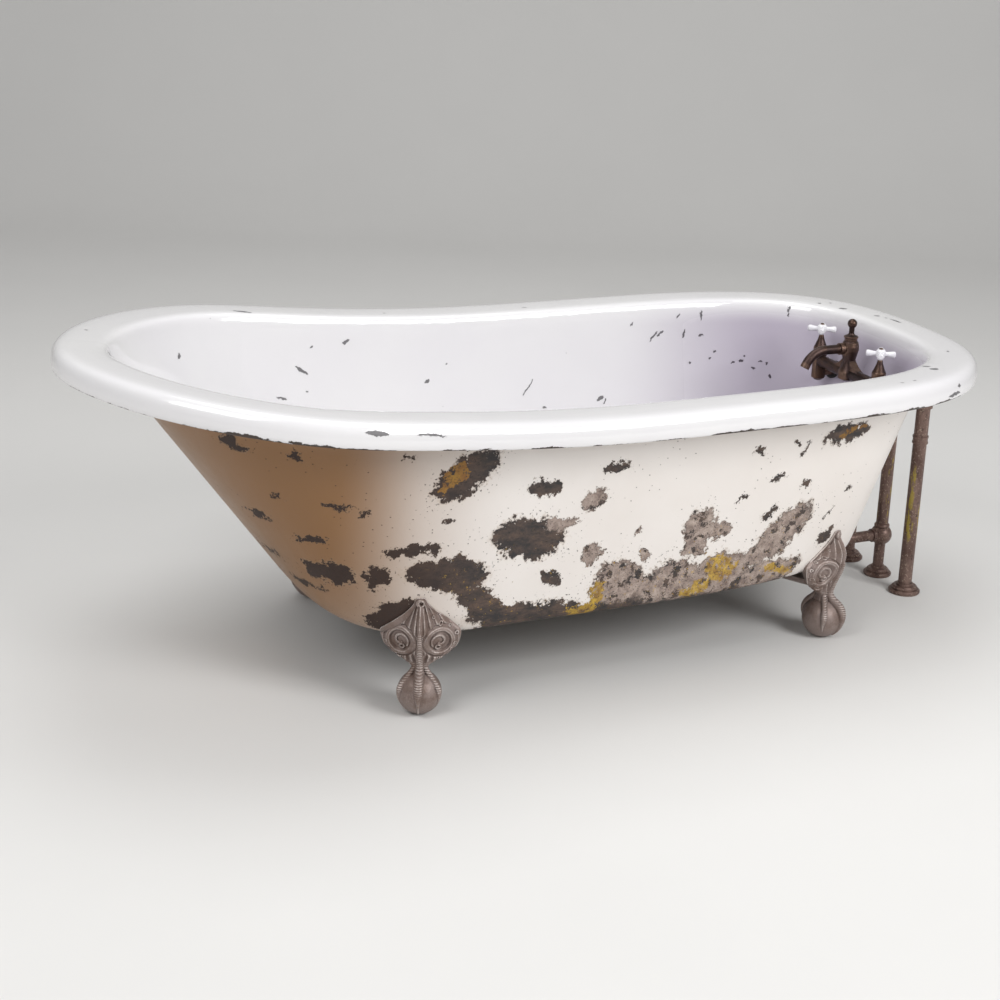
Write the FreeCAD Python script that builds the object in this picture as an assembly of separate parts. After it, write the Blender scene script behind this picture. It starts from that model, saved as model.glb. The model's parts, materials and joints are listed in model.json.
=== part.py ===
"""Clawfoot bathtub with its tap, supply pipes, waste and overflow.

Millimetres, +Z up. The origin lies on the floor under the middle of the rim.
+X runs to the tap end, -X to the raised head end, and -Y is the near side.
"""
import FreeCAD, Part
import math
import os

V = FreeCAD.Vector
UP = V(0, 0, 1)
ALONG = V(1, 0, 0)
ACROSS = V(0, 1, 0)

# ---- fits ------------------------------------------------------------------------------
SEAT_GAP = 0.3          # between pieces that are bedded on each other over a curved face
SLIP_FIT = 0.05         # radial, between a round piece and the bore it sits in
TURNING_FIT = 0.08      # radial, between a turning or sliding piece and its bore
HOLE_PLAY = 0.8         # radial, round pieces that pass through the cast wall

# ---- rim of the basin ------------------------------------------------------------------
RIM_LENGTH = 1700.0
HALF_LENGTH = RIM_LENGTH / 2
RIM_HALF_WIDTH = 408.0
RIM_TAPER = 0.0224      # share by which the rim widens at the head and narrows at the tap, at TAPER_REACH
TAPER_REACH = 800.0
RIM_HEAD_AXIS = 406.0   # how far the rounding of each end reaches along the tub
RIM_TAP_AXIS = 501.0
RIM_HEAD_POWER = 1.76   # 2 is an ellipse, more is squarer
RIM_TAP_POWER = 2.71
RIM_HEIGHT = 522.0      # top of the rim at the tap end
RISE_LENGTH = 520.0     # the rim has its full slope over this length from the head end
RISE_BEND = 440.0       # and begins to climb this much further on
RISE_FULL = RISE_LENGTH - HALF_LENGTH
RISE_START = RISE_FULL + RISE_BEND
RISE_SLOPE = 0.107
RIM_WIDTH = 96.0        # from the outer edge of the roll to the inside of the basin
LIP_DROP = 42.0         # the roll's outer edge hangs this far below the top of the rim
ROLL_RADIUS = 34.0
SHOULDER_RADIUS = 20.0  # where the rim turns down into the basin
NECK_DEPTH = 20.0       # the outer wall meets the underside of the rim here

# ---- body of the basin -----------------------------------------------------------------
WALL = 7.0
BELLY_HEIGHT = 127.0    # underside of the basin over the floor
KNEE_HEAD_INSET = 415.0  # from the rim's ends to the plan in which the walls turn into the floor
KNEE_TAP_INSET = 207.0
KNEE_HEAD_X = KNEE_HEAD_INSET - HALF_LENGTH
KNEE_TAP_X = HALF_LENGTH - KNEE_TAP_INSET
KNEE_HALF_WIDTH = 278.0
KNEE_HEAD_AXIS = 200.0
KNEE_TAP_AXIS = 600.0
KNEE_POWER = 2.94
FLAT_SHARE = 0.80       # share of the knee's plan that is flat
KNEE_TURN = 0.05        # shares of the wall's height at which its skin is guided
WALL_MIDDLE = 0.55
WALL_UPPER = 0.80
PLAN_POINTS = 48

# ---- feet ------------------------------------------------------------------------------
HEAD_FOOT_INSET = 532.0
HEAD_FOOT_X = HEAD_FOOT_INSET - HALF_LENGTH
HEAD_FOOT_Y = 274.0
HEAD_FOOT_TURN = 25.0   # degrees by which the foot faces away from straight sideways
TAP_FOOT_INSET = 336.0
TAP_FOOT_X = HALF_LENGTH - TAP_FOOT_INSET
TAP_FOOT_Y = 229.0
TAP_FOOT_TURN = 30.0
BALL_RADIUS = 38.0
BALL_FLAT = 1.0         # worn flat where the ball stands on the floor
CLAW_RADIUS = 5.5
FOOT_HEIGHT = 212.0     # tip of the leaf over the floor
CORNER_HEIGHT = 150.0   # side corners of the leaf
CORNER_HALF_WIDTH = 68.0
TIP_HALF_WIDTH = 8.0
TIP_FRONT = 17.0
KNEE_HEIGHT = 170.0     # where the foot stands out most
KNEE_FRONT = 40.0
ANKLE_HEIGHT = 90.0
ANKLE_FRONT = 11.0
ANKLE_HALF_WIDTH = 15.0
ANKLE_BACK = -18.0
ROSETTE_RADIUS = 20.0
ROSETTE_OFFSET = 33.0
ROSETTE_HEIGHT = 148.0
ROSETTE_RAISE = 3.0
ROSETTE_RIM = 4.0
BUTTON_RADIUS = 5.0
BUTTON_RAISE = 6.0
LEAF_RIB_RADIUS = 3.0
LEAF_RIBS = 5
RIDGE_RADIUS = 5.0
TONGUE_REACH = 150.0
TONGUE_HALF_WIDTH = 17.0
TONGUE_DROP = 30.0      # from the underside of the basin down to the underside of the tongue
TONGUE_BOTTOM = BELLY_HEIGHT - TONGUE_DROP
TONGUE_THICKNESS = 12.0
LUG_REACH = 130.0       # from the ball's centre inwards to the lug under the basin
LUG_RADIUS = 20.0
BOLT_RADIUS = 5.0
BOLT_GRIP = 15.0        # thread inside the lug
BOLT_HEAD_RADIUS = 9.0
BOLT_HEAD_HEIGHT = 7.0
WASHER_RADIUS = 11.0
WASHER_THICKNESS = 2.0

# ---- tap -------------------------------------------------------------------------------
TAP_INSET = 168.0       # from the rim's end to the tap
TAP_X = HALF_LENGTH - TAP_INSET
VALVE_SPACING = 200.0
SHANK_DROP = 110.0      # from the top of the rim down to the shanks
SHANK_HEIGHT = RIM_HEIGHT - SHANK_DROP
SHANK_RADIUS = 10.5
SHANK_BORE = 7.0
SHANK_REACH = 90.0
SHANK_END_X = TAP_X + SHANK_REACH
CROSSBAR_RISE = 22.0    # from the shanks up to the crossbar
CROSSBAR_HEIGHT = SHANK_HEIGHT + CROSSBAR_RISE
CROSSBAR_RADIUS = 11.5
CROSSBAR_BORE = 7.5
BARREL_RADIUS = 13.5
BARREL_BORE = 9.5
BARREL_TOP = CROSSBAR_HEIGHT + 27.0
BARREL_BOTTOM = SHANK_HEIGHT - 14.0
BARREL_FLOOR = 3.5
VALVE_SEAT_RISE = 12.5  # from the shanks up to the valve seats
VALVE_SEAT_HEIGHT = SHANK_HEIGHT + VALVE_SEAT_RISE
VALVE_SEAT_THICKNESS = 3.0
VALVE_SEAT_HOLE = 6.0
COLUMN_BASE_RADIUS = 24.0
COLUMN_NECK_RADIUS = 11.5
COLUMN_NECK_HEIGHT = CROSSBAR_HEIGHT + 24.0
COLUMN_BULB_RADIUS = 17.0
COLUMN_BULB_HEIGHT = CROSSBAR_HEIGHT + 50.0
COLUMN_TOP = COLUMN_BULB_HEIGHT + 20.0
COLUMN_TOP_RADIUS = 12.5
COLUMN_BORE = 8.0
WEB_THICKNESS = 15.0
WEB_REACH = 82.0
SPOUT_HEIGHT = COLUMN_BULB_HEIGHT
SPOUT_RADIUS = 9.0
SPOUT_BORE = 6.5
SPOUT_ROOT_RADIUS = 11.5
SPOUT_ROOT_LENGTH = 8.0
SPOUT_STRAIGHT = 40.0
SPOUT_BEND_RADIUS = 46.0
SPOUT_BEND_ANGLE = 62.0
SPOUT_NOSE = 8.0
CAP_DISC_RADIUS = 14.0
CAP_DISC_THICKNESS = 5.0
CAP_SPIGOT = 8.0
FINIAL_NECK_RADIUS = 5.2
FINIAL_BALL_RADIUS = 9.2
FINIAL_RISE = 28.5      # from the column's top up to the middle of the ball
FINIAL_BALL_HEIGHT = COLUMN_TOP + FINIAL_RISE

# ---- valves: bonnet, spindle, jumper, handle -------------------------------------------
BONNET_BASE_RADIUS = 11.5
BONNET_TOP_RADIUS = 4.8
BONNET_HEIGHT = 24.5
BONNET_TOP = BARREL_TOP + BONNET_HEIGHT
BONNET_SPIGOT = 6.0
BONNET_SKIRT = 4.0
SPINDLE_RADIUS = 5.9
SPINDLE_NECK_RADIUS = 3.0
SPINDLE_CLEARANCE = 9.5  # from the valve seat up to the spindle
SPINDLE_BOTTOM = VALVE_SEAT_HEIGHT + SPINDLE_CLEARANCE
SPINDLE_SHOULDER = BARREL_TOP + 7.0
SPINDLE_TOP = BONNET_TOP + 19.5
PACKING_HEIGHT = 4.0
JUMPER_RADIUS = 8.4
JUMPER_THICKNESS = 2.0
JUMPER_PIN_RADIUS = 2.4
JUMPER_PIN_LENGTH = 12.0
VALVE_WASHER_THICKNESS = 2.5
VALVE_LIFT = 4.0
HANDLE_RISE = 12.5      # from the bonnet's top up to the arms
HANDLE_HEIGHT = BONNET_TOP + HANDLE_RISE
HUB_RADIUS = 9.8
HUB_HALF_HEIGHT = 9.0
ARM_REACH = 28.0
ARM_ROOT_RADIUS = 4.6
ARM_END_RADIUS = 6.3
ARM_TIP_ROUND = 2.5
HANDLE_TURN = -36.0     # how the cross stands when the valve is shut
HANDLE_SCREW_RADIUS = 1.5
HANDLE_SCREW_LENGTH = 10.0
HANDLE_SCREW_HEAD = 4.2
HANDLE_SCREW_RISE = 2.5

# ---- wall fixings of the tap -----------------------------------------------------------
WALL_WASHER_RADIUS = 17.0
WALL_WASHER_THICKNESS = 3.0
LOCKNUT_RADIUS = 17.5
LOCKNUT_THICKNESS = 8.0
UNION_RADIUS = 17.0
UNION_LENGTH = 13.0

# ---- supply pipes ----------------------------------------------------------------------
PIPE_X = SHANK_END_X + 23.0
PIPE_RADIUS = 13.4
PIPE_BORE = 11.0
ELBOW_RADIUS = 15.5
PIPE_SOCKET = 14.0
COUPLING_HEIGHT = SHANK_HEIGHT - 94.0
COUPLING_LENGTH = 15.0
COUPLING_SLEEVE = 1.0
COUPLING_BEAD = 2.0
COUPLING_BEAD_WIDTH = 3.0
FLANGE_RADIUS = 31.0
FLANGE_THICKNESS = 8.0
FLANGE_STEP_RADIUS = 25.0
FLANGE_STEP_THICKNESS = 7.0
FLANGE_COLLAR = 3.0
FLANGE_COLLAR_HEIGHT = 5.0

# ---- waste and overflow ----------------------------------------------------------------
STANDPIPE_INSET = 50.0
STANDPIPE_X = HALF_LENGTH - STANDPIPE_INSET
STANDPIPE_RADIUS = 12.2
STANDPIPE_BORE = 10.4
TEE_HEIGHT = BELLY_HEIGHT - 41.0
TEE_RADIUS = 21.5
TEE_BORE = 17.0
TEE_SOCKET = 10.0
COLLAR_RADIUS = 15.2
COLLAR_HEIGHT = 8.0
NECK_RADIUS = 10.8
NECK_BORE = 9.0
WASTE_FLANGE_RADIUS = 28.0
WASTE_RADIUS = 10.8
WASTE_BORE = 9.2
RING_NUT_RADIUS = 13.6
RING_NUT_LENGTH = 7.0
DRAIN_INSET = 360.0     # from the rim's end to the drain
DRAIN_X = HALF_LENGTH - DRAIN_INSET
DRAIN_HOLE_RADIUS = 24.0
STRAINER_RADIUS = 36.0
STRAINER_THICKNESS = 3.0
STRAINER_SPIGOT_RADIUS = 23.0
STRAINER_SPIGOT_LENGTH = 29.0
STRAINER_BORE = 21.5
STRAINER_BAR = 4.0
STRAINER_BAR_DEPTH = 20.0
DRAIN_GASKET_RADIUS = 34.0
DRAIN_GASKET_THICKNESS = 3.0
SHOE_RADIUS = 29.0
SHOE_BOTTOM = TEE_HEIGHT - 18.0
SHOE_FLOOR = 6.0
SHOE_SOCKET_RADIUS = 14.5
SHOE_SOCKET_REACH = 52.0
SLIP_NUT_RADIUS = 18.0
SLIP_NUT_LENGTH = 14.0
PLUG_RADIUS = 21.0
PLUG_DEPTH = 9.0
PLUG_FLANGE_RADIUS = 26.0
PLUG_FLANGE_THICKNESS = 3.0
PLUG_KNOB_RADIUS = 6.0
PLUG_KNOB_HEIGHT = 12.0
OVERFLOW_HEIGHT = SHANK_HEIGHT - 62.0
OVERFLOW_HOLE_RADIUS = 22.0
OVERFLOW_PLATE_RADIUS = 33.0
OVERFLOW_PLATE_THICKNESS = 3.0
OVERFLOW_GASKET_RADIUS = 30.0
OVERFLOW_GASKET_THICKNESS = 3.0
OVERFLOW_HEAD_RADIUS = 27.0
OVERFLOW_HEAD_LENGTH = 12.0
OVERFLOW_ELBOW_RADIUS = 15.0
OVERFLOW_SLOTS = 6
OVERFLOW_SLOT_RADIUS = 3.5
OVERFLOW_SLOT_CIRCLE = 13.0
OVERFLOW_SCREW_RADIUS = 2.5
OVERFLOW_SCREW_LENGTH = 18.0
OVERFLOW_SCREW_HEAD = 5.0
OVERFLOW_BRIDGE = 8.0

SAMPLES = 240           # points at which a plan curve is measured before it is divided evenly
FAR = 400.0             # longer than any piece that a cutting tool has to clear


# ---- plain solids ----------------------------------------------------------------------
def rod(start, direction, radius, length):
    """Round bar from start along direction."""
    return Part.makeCylinder(radius, length, start, direction)


def tube(start, direction, radius, bore, length):
    return rod(start, direction, radius, length).cut(rod(start, direction, bore, length))


def turned(profile, centre):
    """Solid turned about the vertical through centre from (radius, height) points."""
    points = [V(centre.x + r, centre.y, z) for r, z in profile]
    face = Part.Face(Part.makePolygon(points + points[:1]))
    return face.revolve(V(centre.x, centre.y, 0), UP, 360)


def hexagon(start, direction, corner_radius, length):
    """Six-sided bar from start along direction."""
    side = V(direction).cross(UP)
    if side.Length < 0.5:
        side = V(ACROSS)
    side.normalize()
    other = V(direction).cross(side)
    corners = []
    for k in range(6):
        angle = math.radians(60 * k)
        spoke = side * math.cos(angle) + other * math.sin(angle)
        corners.append(start + spoke * corner_radius)
    return Part.Face(Part.makePolygon(corners + corners[:1])).extrude(direction * length)


def merged(solids):
    """One solid out of pieces that run into each other."""
    whole = solids[0].fuse(solids[1:])
    return whole.removeSplitter()


def tapered_rib(points, radii):
    """Rounded rib through points, with a radius at each one."""
    sections = []
    for i, point in enumerate(points):
        before = points[max(i - 1, 0)]
        after = points[min(i + 1, len(points) - 1)]
        sections.append(Part.Wire(Part.Circle(point, after - before, radii[i]).toShape()))
    return Part.makeLoft(sections, True, True)


# ---- plan curves of the basin ----------------------------------------------------------
def plan_curve(head_x, tap_x, half_width, head_axis, tap_axis, head_power, tap_power):
    """Points evenly spaced round an oval with straight sides, from the head tip by the far side."""
    half = []
    for i in range(SAMPLES + 1):
        angle = math.pi / 2 * i / SAMPLES
        x = head_x + head_axis * (1 - math.cos(angle) ** (2 / head_power))
        half.append((x, half_width * math.sin(angle) ** (2 / head_power)))
    for i in range(SAMPLES + 1):
        angle = math.pi / 2 * (1 - i / SAMPLES)
        x = tap_x - tap_axis * (1 - math.cos(angle) ** (2 / tap_power))
        half.append((x, half_width * math.sin(angle) ** (2 / tap_power)))
    travelled = [0.0]
    for a, b in zip(half, half[1:]):
        travelled.append(travelled[-1] + math.dist(a, b))
    steps = PLAN_POINTS // 2
    side = []
    k = 0
    for i in range(steps + 1):
        goal = travelled[-1] * i / steps
        while k < len(half) - 2 and travelled[k + 1] < goal:
            k += 1
        share = (goal - travelled[k]) / max(travelled[k + 1] - travelled[k], 1e-9)
        side.append(tuple(a + (b - a) * share for a, b in zip(half[k], half[k + 1])))
    return side + [(x, -y) for x, y in side[-2:0:-1]]


def grown(plan, amount):
    """The plan moved outwards by amount, or inwards where it is negative."""
    moved = []
    for i, (x, y) in enumerate(plan):
        before = plan[i - 1]
        after = plan[(i + 1) % len(plan)]
        run = math.dist(before, after)
        moved.append((x - (after[1] - before[1]) / run * amount, y + (after[0] - before[0]) / run * amount))
    return moved


def guides(plan):
    """Guide points whose smooth closed curve passes through the plan's points."""
    pulled = []
    for i, (x, y) in enumerate(plan):
        before = plan[i - 1]
        after = plan[(i + 1) % len(plan)]
        pulled.append((x + (2 * x - before[0] - after[0]) / 6, y + (2 * y - before[1] - after[1]) / 6))
    return pulled


def rim_rise(x):
    """How far the rim at x stands above its height at the tap end."""
    if x >= RISE_START:
        return 0.0
    if x >= RISE_FULL:
        return RISE_SLOPE * (RISE_START - x) ** 2 / (2 * (RISE_START - RISE_FULL))
    return RISE_SLOPE * ((RISE_START - RISE_FULL) / 2 + RISE_FULL - x)


RIM_PLAN = [
    (x, y * (1 - RIM_TAPER * x / TAPER_REACH))
    for x, y in plan_curve(
        -RIM_LENGTH / 2,
        RIM_LENGTH / 2,
        RIM_HALF_WIDTH,
        RIM_HEAD_AXIS,
        RIM_TAP_AXIS,
        RIM_HEAD_POWER,
        RIM_TAP_POWER,
    )
]
KNEE_PLAN = plan_curve(
    KNEE_HEAD_X, KNEE_TAP_X, KNEE_HALF_WIDTH, KNEE_HEAD_AXIS, KNEE_TAP_AXIS, KNEE_POWER, KNEE_POWER
)


# ---- rows of guide points from which the basin's skins are made ------------------------
def rim_row(inset, drop):
    """Row that follows the rim, inset from its outer edge and drop below its top."""
    return [V(x, y, RIM_HEIGHT + rim_rise(x) - drop) for x, y in guides(grown(RIM_PLAN, -inset))]


def knee_row(grow, height):
    return [V(x, y, height) for x, y in guides(grown(KNEE_PLAN, grow))]


def floor_row(height):
    middle = (KNEE_HEAD_X + KNEE_TAP_X) / 2
    return [V(middle + (p.x - middle) * FLAT_SHARE, p.y * FLAT_SHARE, height) for p in knee_row(0, height)]


def blended(lower, upper, share):
    return [a * (1 - share) + b * share for a, b in zip(lower, upper)]


def wall_rows(grow):
    """Rows from the flat underside up to the neck of the outer wall, moved outwards by grow."""
    knee = knee_row(grow, BELLY_HEIGHT - grow)
    neck = rim_row(RIM_WIDTH - WALL - grow, NECK_DEPTH)
    middle = [blended(knee, neck, share) for share in (KNEE_TURN, WALL_MIDDLE, WALL_UPPER)]
    return [floor_row(BELLY_HEIGHT - grow), knee] + middle + [neck]


def skin_solid(rows):
    """Solid inside one smooth skin through the rows, closed by flat ends at the first and the last row."""
    poles = [[row[i] for row in rows] for i in range(PLAN_POINTS)]
    spans = len(rows) - 3
    heights = [k / spans for k in range(spans + 1)]
    skin = Part.BSplineSurface()
    skin.buildFromPolesMultsKnots(
        poles,
        [1] * (PLAN_POINTS + 1),
        [4] + [1] * (spans - 1) + [4],
        [float(k) for k in range(PLAN_POINTS + 1)],
        heights,
        True,
        False,
        3,
        3,
    )
    ends = [Part.Face(Part.Wire(skin.vIso(height).toShape())) for height in (heights[0], heights[-1])]
    shell = Part.makeShell([skin.toShape()] + ends)
    shell.sewShape()
    solid = Part.makeSolid(shell)
    if solid.Volume < 0:
        solid.reverse()
    return solid


def outside_of_basin(grow):
    """Everything inside the basin's outer face moved outwards by grow, carried up past the rim."""
    rows = wall_rows(grow)
    top = [V(p.x, p.y, RIM_HEIGHT + FAR / 2) for p in rows[-1]]
    return skin_solid(rows + [blended(rows[-1], top, 0.5), top])


# ---- tub shell -------------------------------------------------------------------------
def foot_places():
    """Name, ball centre, and outward direction of each foot."""
    places = {}
    for end, x, y, turn in (
        ("head", HEAD_FOOT_X, HEAD_FOOT_Y, -HEAD_FOOT_TURN),
        ("tap", TAP_FOOT_X, TAP_FOOT_Y, TAP_FOOT_TURN),
    ):
        lean = math.radians(turn)
        for side, sign in (("near", -1), ("far", 1)):
            places[f"foot_{end}_{side}"] = (V(x, sign * y, 0), V(math.sin(lean), sign * math.cos(lean), 0))
    return places


def lug_centre(place):
    centre, outward = place
    return centre - outward * LUG_REACH


def tub_shell():
    """Cast basin with its rolled rim, lugs for the feet and holes for tap, overflow and drain."""
    outer = wall_rows(0)
    channel = RIM_WIDTH - 2 * WALL
    rim = [
        rim_row(channel, WALL + 2),
        rim_row(channel * 0.55, WALL + 1),
        rim_row(WALL + ROLL_RADIUS * 0.35, WALL + 2),
        rim_row(WALL, WALL + ROLL_RADIUS * 0.5),
        rim_row(WALL, LIP_DROP),
        rim_row(0, LIP_DROP + 1),
        rim_row(0, ROLL_RADIUS * 0.45),
        rim_row(ROLL_RADIUS * 0.3, 1),
        rim_row(ROLL_RADIUS, 0),
        rim_row(RIM_WIDTH - SHOULDER_RADIUS, 0),
        rim_row(RIM_WIDTH - 2, 2),
        rim_row(RIM_WIDTH + 2, NECK_DEPTH + 6),
    ]
    inner = wall_rows(-WALL)[:-1]
    shell = skin_solid(outer + rim + inner[::-1])
    foot_of_lug = TONGUE_BOTTOM + TONGUE_THICKNESS + SEAT_GAP
    lugs = []
    cuts = []
    for place in foot_places().values():
        centre = lug_centre(place)
        base = V(centre.x, centre.y, foot_of_lug)
        lugs.append(rod(base, UP, LUG_RADIUS, BELLY_HEIGHT + WALL / 2 - foot_of_lug))
        cuts.append(rod(base, UP, BOLT_RADIUS + SLIP_FIT, BOLT_GRIP + 1))
    shell = shell.fuse(lugs)
    for y in valve_sides():
        cuts.append(rod(V(TAP_X, y, SHANK_HEIGHT), ALONG, SHANK_RADIUS + HOLE_PLAY, PIPE_X - TAP_X))
    cuts.append(rod(V(TAP_X - FAR / 8, 0, OVERFLOW_HEIGHT), ALONG, OVERFLOW_HOLE_RADIUS, FAR / 4))
    cuts.append(rod(V(DRAIN_X, 0, BELLY_HEIGHT - FAR / 8), UP, DRAIN_HOLE_RADIUS, FAR / 4))
    return shell.cut(cuts)


# ---- feet ------------------------------------------------------------------------------
def leg_stations():
    """(height, front, back, half width, sharpness) of the foot's level sections, from the ball up."""
    return [
        (BALL_RADIUS * 1.62, ANKLE_FRONT + 9, ANKLE_BACK - 6, ANKLE_HALF_WIDTH + 9, 1.0),
        (ANKLE_HEIGHT - 13, ANKLE_FRONT + 2, ANKLE_BACK - 1, ANKLE_HALF_WIDTH + 2, 1.0),
        (ANKLE_HEIGHT, ANKLE_FRONT, ANKLE_BACK, ANKLE_HALF_WIDTH, 1.0),
        (ANKLE_HEIGHT + 15, ANKLE_FRONT + 3, ANKLE_BACK - 3, ANKLE_HALF_WIDTH + 6, 1.1),
        (ANKLE_HEIGHT + 30, KNEE_FRONT - 19, ANKLE_BACK - 10, CORNER_HALF_WIDTH * 0.52, 1.25),
        (CORNER_HEIGHT - 13, KNEE_FRONT - 9, ANKLE_BACK - 22, CORNER_HALF_WIDTH * 0.80, 1.4),
        (CORNER_HEIGHT, KNEE_FRONT - 3, ANKLE_BACK - 34, CORNER_HALF_WIDTH, 1.5),
        (KNEE_HEIGHT, KNEE_FRONT, ANKLE_BACK - 34, CORNER_HALF_WIDTH * 0.72, 1.5),
        (FOOT_HEIGHT - 20, KNEE_FRONT - 8, ANKLE_BACK - 28, CORNER_HALF_WIDTH * 0.40, 1.4),
        (FOOT_HEIGHT, TIP_FRONT, ANKLE_BACK - 20, TIP_HALF_WIDTH, 1.0),
    ]


def level_section(height, front, back, half_width, sharpness):
    """Closed level curve: a bow with a crease at the front, blunt at the back."""
    points = []
    count = 16
    middle = (front + back) / 2
    for k in range(count):
        angle = 2 * math.pi * k / count
        depth = math.cos(angle)
        reach = front - middle if depth > 0 else middle - back
        shaped = math.copysign(abs(depth) ** (sharpness if depth > 0 else 0.7), depth)
        points.append(V(middle + reach * shaped, half_width * math.sin(angle), height))
    curve = Part.BSplineCurve()
    curve.interpolate(points, PeriodicFlag=True)
    return Part.Wire(curve.toShape())


def front_at(y, height):
    """Where the foot's front face lies at a height and a distance from its middle."""
    stations = leg_stations()
    for low, high in zip(stations, stations[1:]):
        if low[0] <= height <= high[0]:
            share = (height - low[0]) / (high[0] - low[0])
            front, back, half, sharp = (a + (b - a) * share for a, b in zip(low[1:], high[1:]))
            depth = math.sqrt(max(1 - (y / half) ** 2, 0))
            middle = (front + back) / 2
            return middle + (front - middle) * depth**sharp
    raise ValueError(height)


def claw(bearing, reach_down):
    """One claw that runs down the ball on a bearing, to reach_down degrees below its middle."""
    centre = V(0, 0, BALL_RADIUS - BALL_FLAT)
    heading = V(math.cos(math.radians(bearing)), math.sin(math.radians(bearing)), 0)
    points = []
    radii = []
    steps = 7
    for k in range(steps):
        share = k / (steps - 1)
        angle = math.radians(68 - (68 + reach_down) * share)
        distance = BALL_RADIUS + CLAW_RADIUS * 0.25 * math.sin(math.pi * share)
        points.append(centre + heading * (distance * math.cos(angle)) + UP * (distance * math.sin(angle)))
        radii.append(CLAW_RADIUS * (1 - 0.62 * share**1.5) + 1.2 * math.sin(math.pi * min(share * 2, 1)))
    return tapered_rib(points, radii)


def rosettes():
    """Round scroll and its button on each half of the leaf."""
    pieces = []
    for side in (-1, 1):
        y = side * ROSETTE_OFFSET
        here = V(front_at(y, ROSETTE_HEIGHT), y, ROSETTE_HEIGHT)
        slope = (front_at(y + side * 4, ROSETTE_HEIGHT) - front_at(y - side * 4, ROSETTE_HEIGHT)) / 8
        facing = V(1, -slope * side, 0)
        facing.normalize()
        root = here - facing * ROSETTE_RADIUS * 0.6
        depth = ROSETTE_RADIUS * 0.6
        ring = tube(root, facing, ROSETTE_RADIUS, ROSETTE_RADIUS - ROSETTE_RIM, depth + ROSETTE_RAISE)
        button = rod(root, facing, BUTTON_RADIUS, depth + BUTTON_RAISE)
        pieces += [ring, button]
    return pieces


def leaf_ribs():
    """Veins that fan out from the tip of the leaf."""
    ribs = []
    for k in range(LEAF_RIBS):
        spread = 2 * k / (LEAF_RIBS - 1) - 1
        points = []
        for share in (0.0, 0.4, 0.75, 1.0):
            height = FOOT_HEIGHT - 5 - (28 - 6 * abs(spread)) * share
            y = spread * (3 + 23 * share**1.2)
            points.append(V(front_at(y, height), y, height))
        ribs.append(tapered_rib(points, [LEAF_RIB_RADIUS * f for f in (0.6, 1.0, 1.0, 0.5)]))
    return ribs


def front_ridge():
    """Ribbed crest from the middle of the leaf down to the ankle."""
    heights = [KNEE_HEIGHT + 8, CORNER_HEIGHT, ANKLE_HEIGHT + 30, ANKLE_HEIGHT + 8, ANKLE_HEIGHT - 14]
    points = [V(front_at(0, height) - 1, 0, height) for height in heights]
    return tapered_rib(points, [RIDGE_RADIUS * f for f in (0.5, 0.9, 1.0, 1.0, 1.0)])


def foot_blank():
    """Foot before it is bedded on the tub: leaf, ankle, ball, claws and the tongue that is bolted on."""
    leg = Part.makeLoft([level_section(*station) for station in leg_stations()], True, True)
    ball = Part.makeSphere(BALL_RADIUS, V(0, 0, BALL_RADIUS - BALL_FLAT))
    claws = [claw(0, 48), claw(90, 18), claw(-90, 18), claw(180, 20)]
    tongue_corner = V(-TONGUE_REACH, -TONGUE_HALF_WIDTH, TONGUE_BOTTOM)
    tongue = Part.makeBox(TONGUE_REACH, 2 * TONGUE_HALF_WIDTH, TONGUE_THICKNESS, tongue_corner)
    foot = leg.fuse([ball, tongue, front_ridge()] + claws + rosettes() + leaf_ribs())
    below_floor = Part.makeBox(FAR, FAR, FAR, V(-FAR / 2, -FAR / 2, -FAR))
    bolt_hole = rod(V(-LUG_REACH, 0, 0), UP, BOLT_RADIUS + HOLE_PLAY, FAR)
    return foot.cut([below_floor, bolt_hole])


def placed_foot(blank, place):
    """The blank turned to face outward and moved over its ball's place."""
    centre, outward = place
    foot = blank.copy()
    foot.rotate(V(0, 0, 0), UP, math.degrees(math.atan2(outward.y, outward.x)))
    foot.translate(centre)
    return foot


def mirrored(shape):
    return shape.mirror(V(0, 0, 0), ACROSS)


def feet():
    """The four feet, each bedded on the basin's wall."""
    blank = foot_blank()
    wall = outside_of_basin(SEAT_GAP)
    pieces = {}
    for end in ("head", "tap"):
        near = placed_foot(blank, foot_places()[f"foot_{end}_near"]).cut(wall)
        near = max(near.Solids, key=lambda solid: solid.Volume)
        pieces[f"foot_{end}_near"] = near
        pieces[f"foot_{end}_far"] = mirrored(near)
    return pieces


def foot_fasteners():
    """Bolts and washers, one of each for every foot."""
    bolts = []
    washers = []
    for place in foot_places().values():
        centre = lug_centre(place)
        under = TONGUE_BOTTOM - SEAT_GAP
        washers.append(
            tube(V(centre.x, centre.y, under), -UP, WASHER_RADIUS, BOLT_RADIUS + SLIP_FIT, WASHER_THICKNESS)
        )
        head_top = under - WASHER_THICKNESS
        head = hexagon(V(centre.x, centre.y, head_top), -UP, BOLT_HEAD_RADIUS, BOLT_HEAD_HEIGHT)
        reach = TONGUE_BOTTOM + TONGUE_THICKNESS + SEAT_GAP + BOLT_GRIP - head_top
        shank = rod(V(centre.x, centre.y, head_top - 1), UP, BOLT_RADIUS, reach + 1)
        bolts.append(merged([head, shank]))
    return {"foot_bolts": Part.makeCompound(bolts), "foot_washers": Part.makeCompound(washers)}


# ---- tap -------------------------------------------------------------------------------
def valve_sides():
    """Y of the cold valve, on the near side, and of the hot valve."""
    return (-VALVE_SPACING / 2, VALVE_SPACING / 2)


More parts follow.
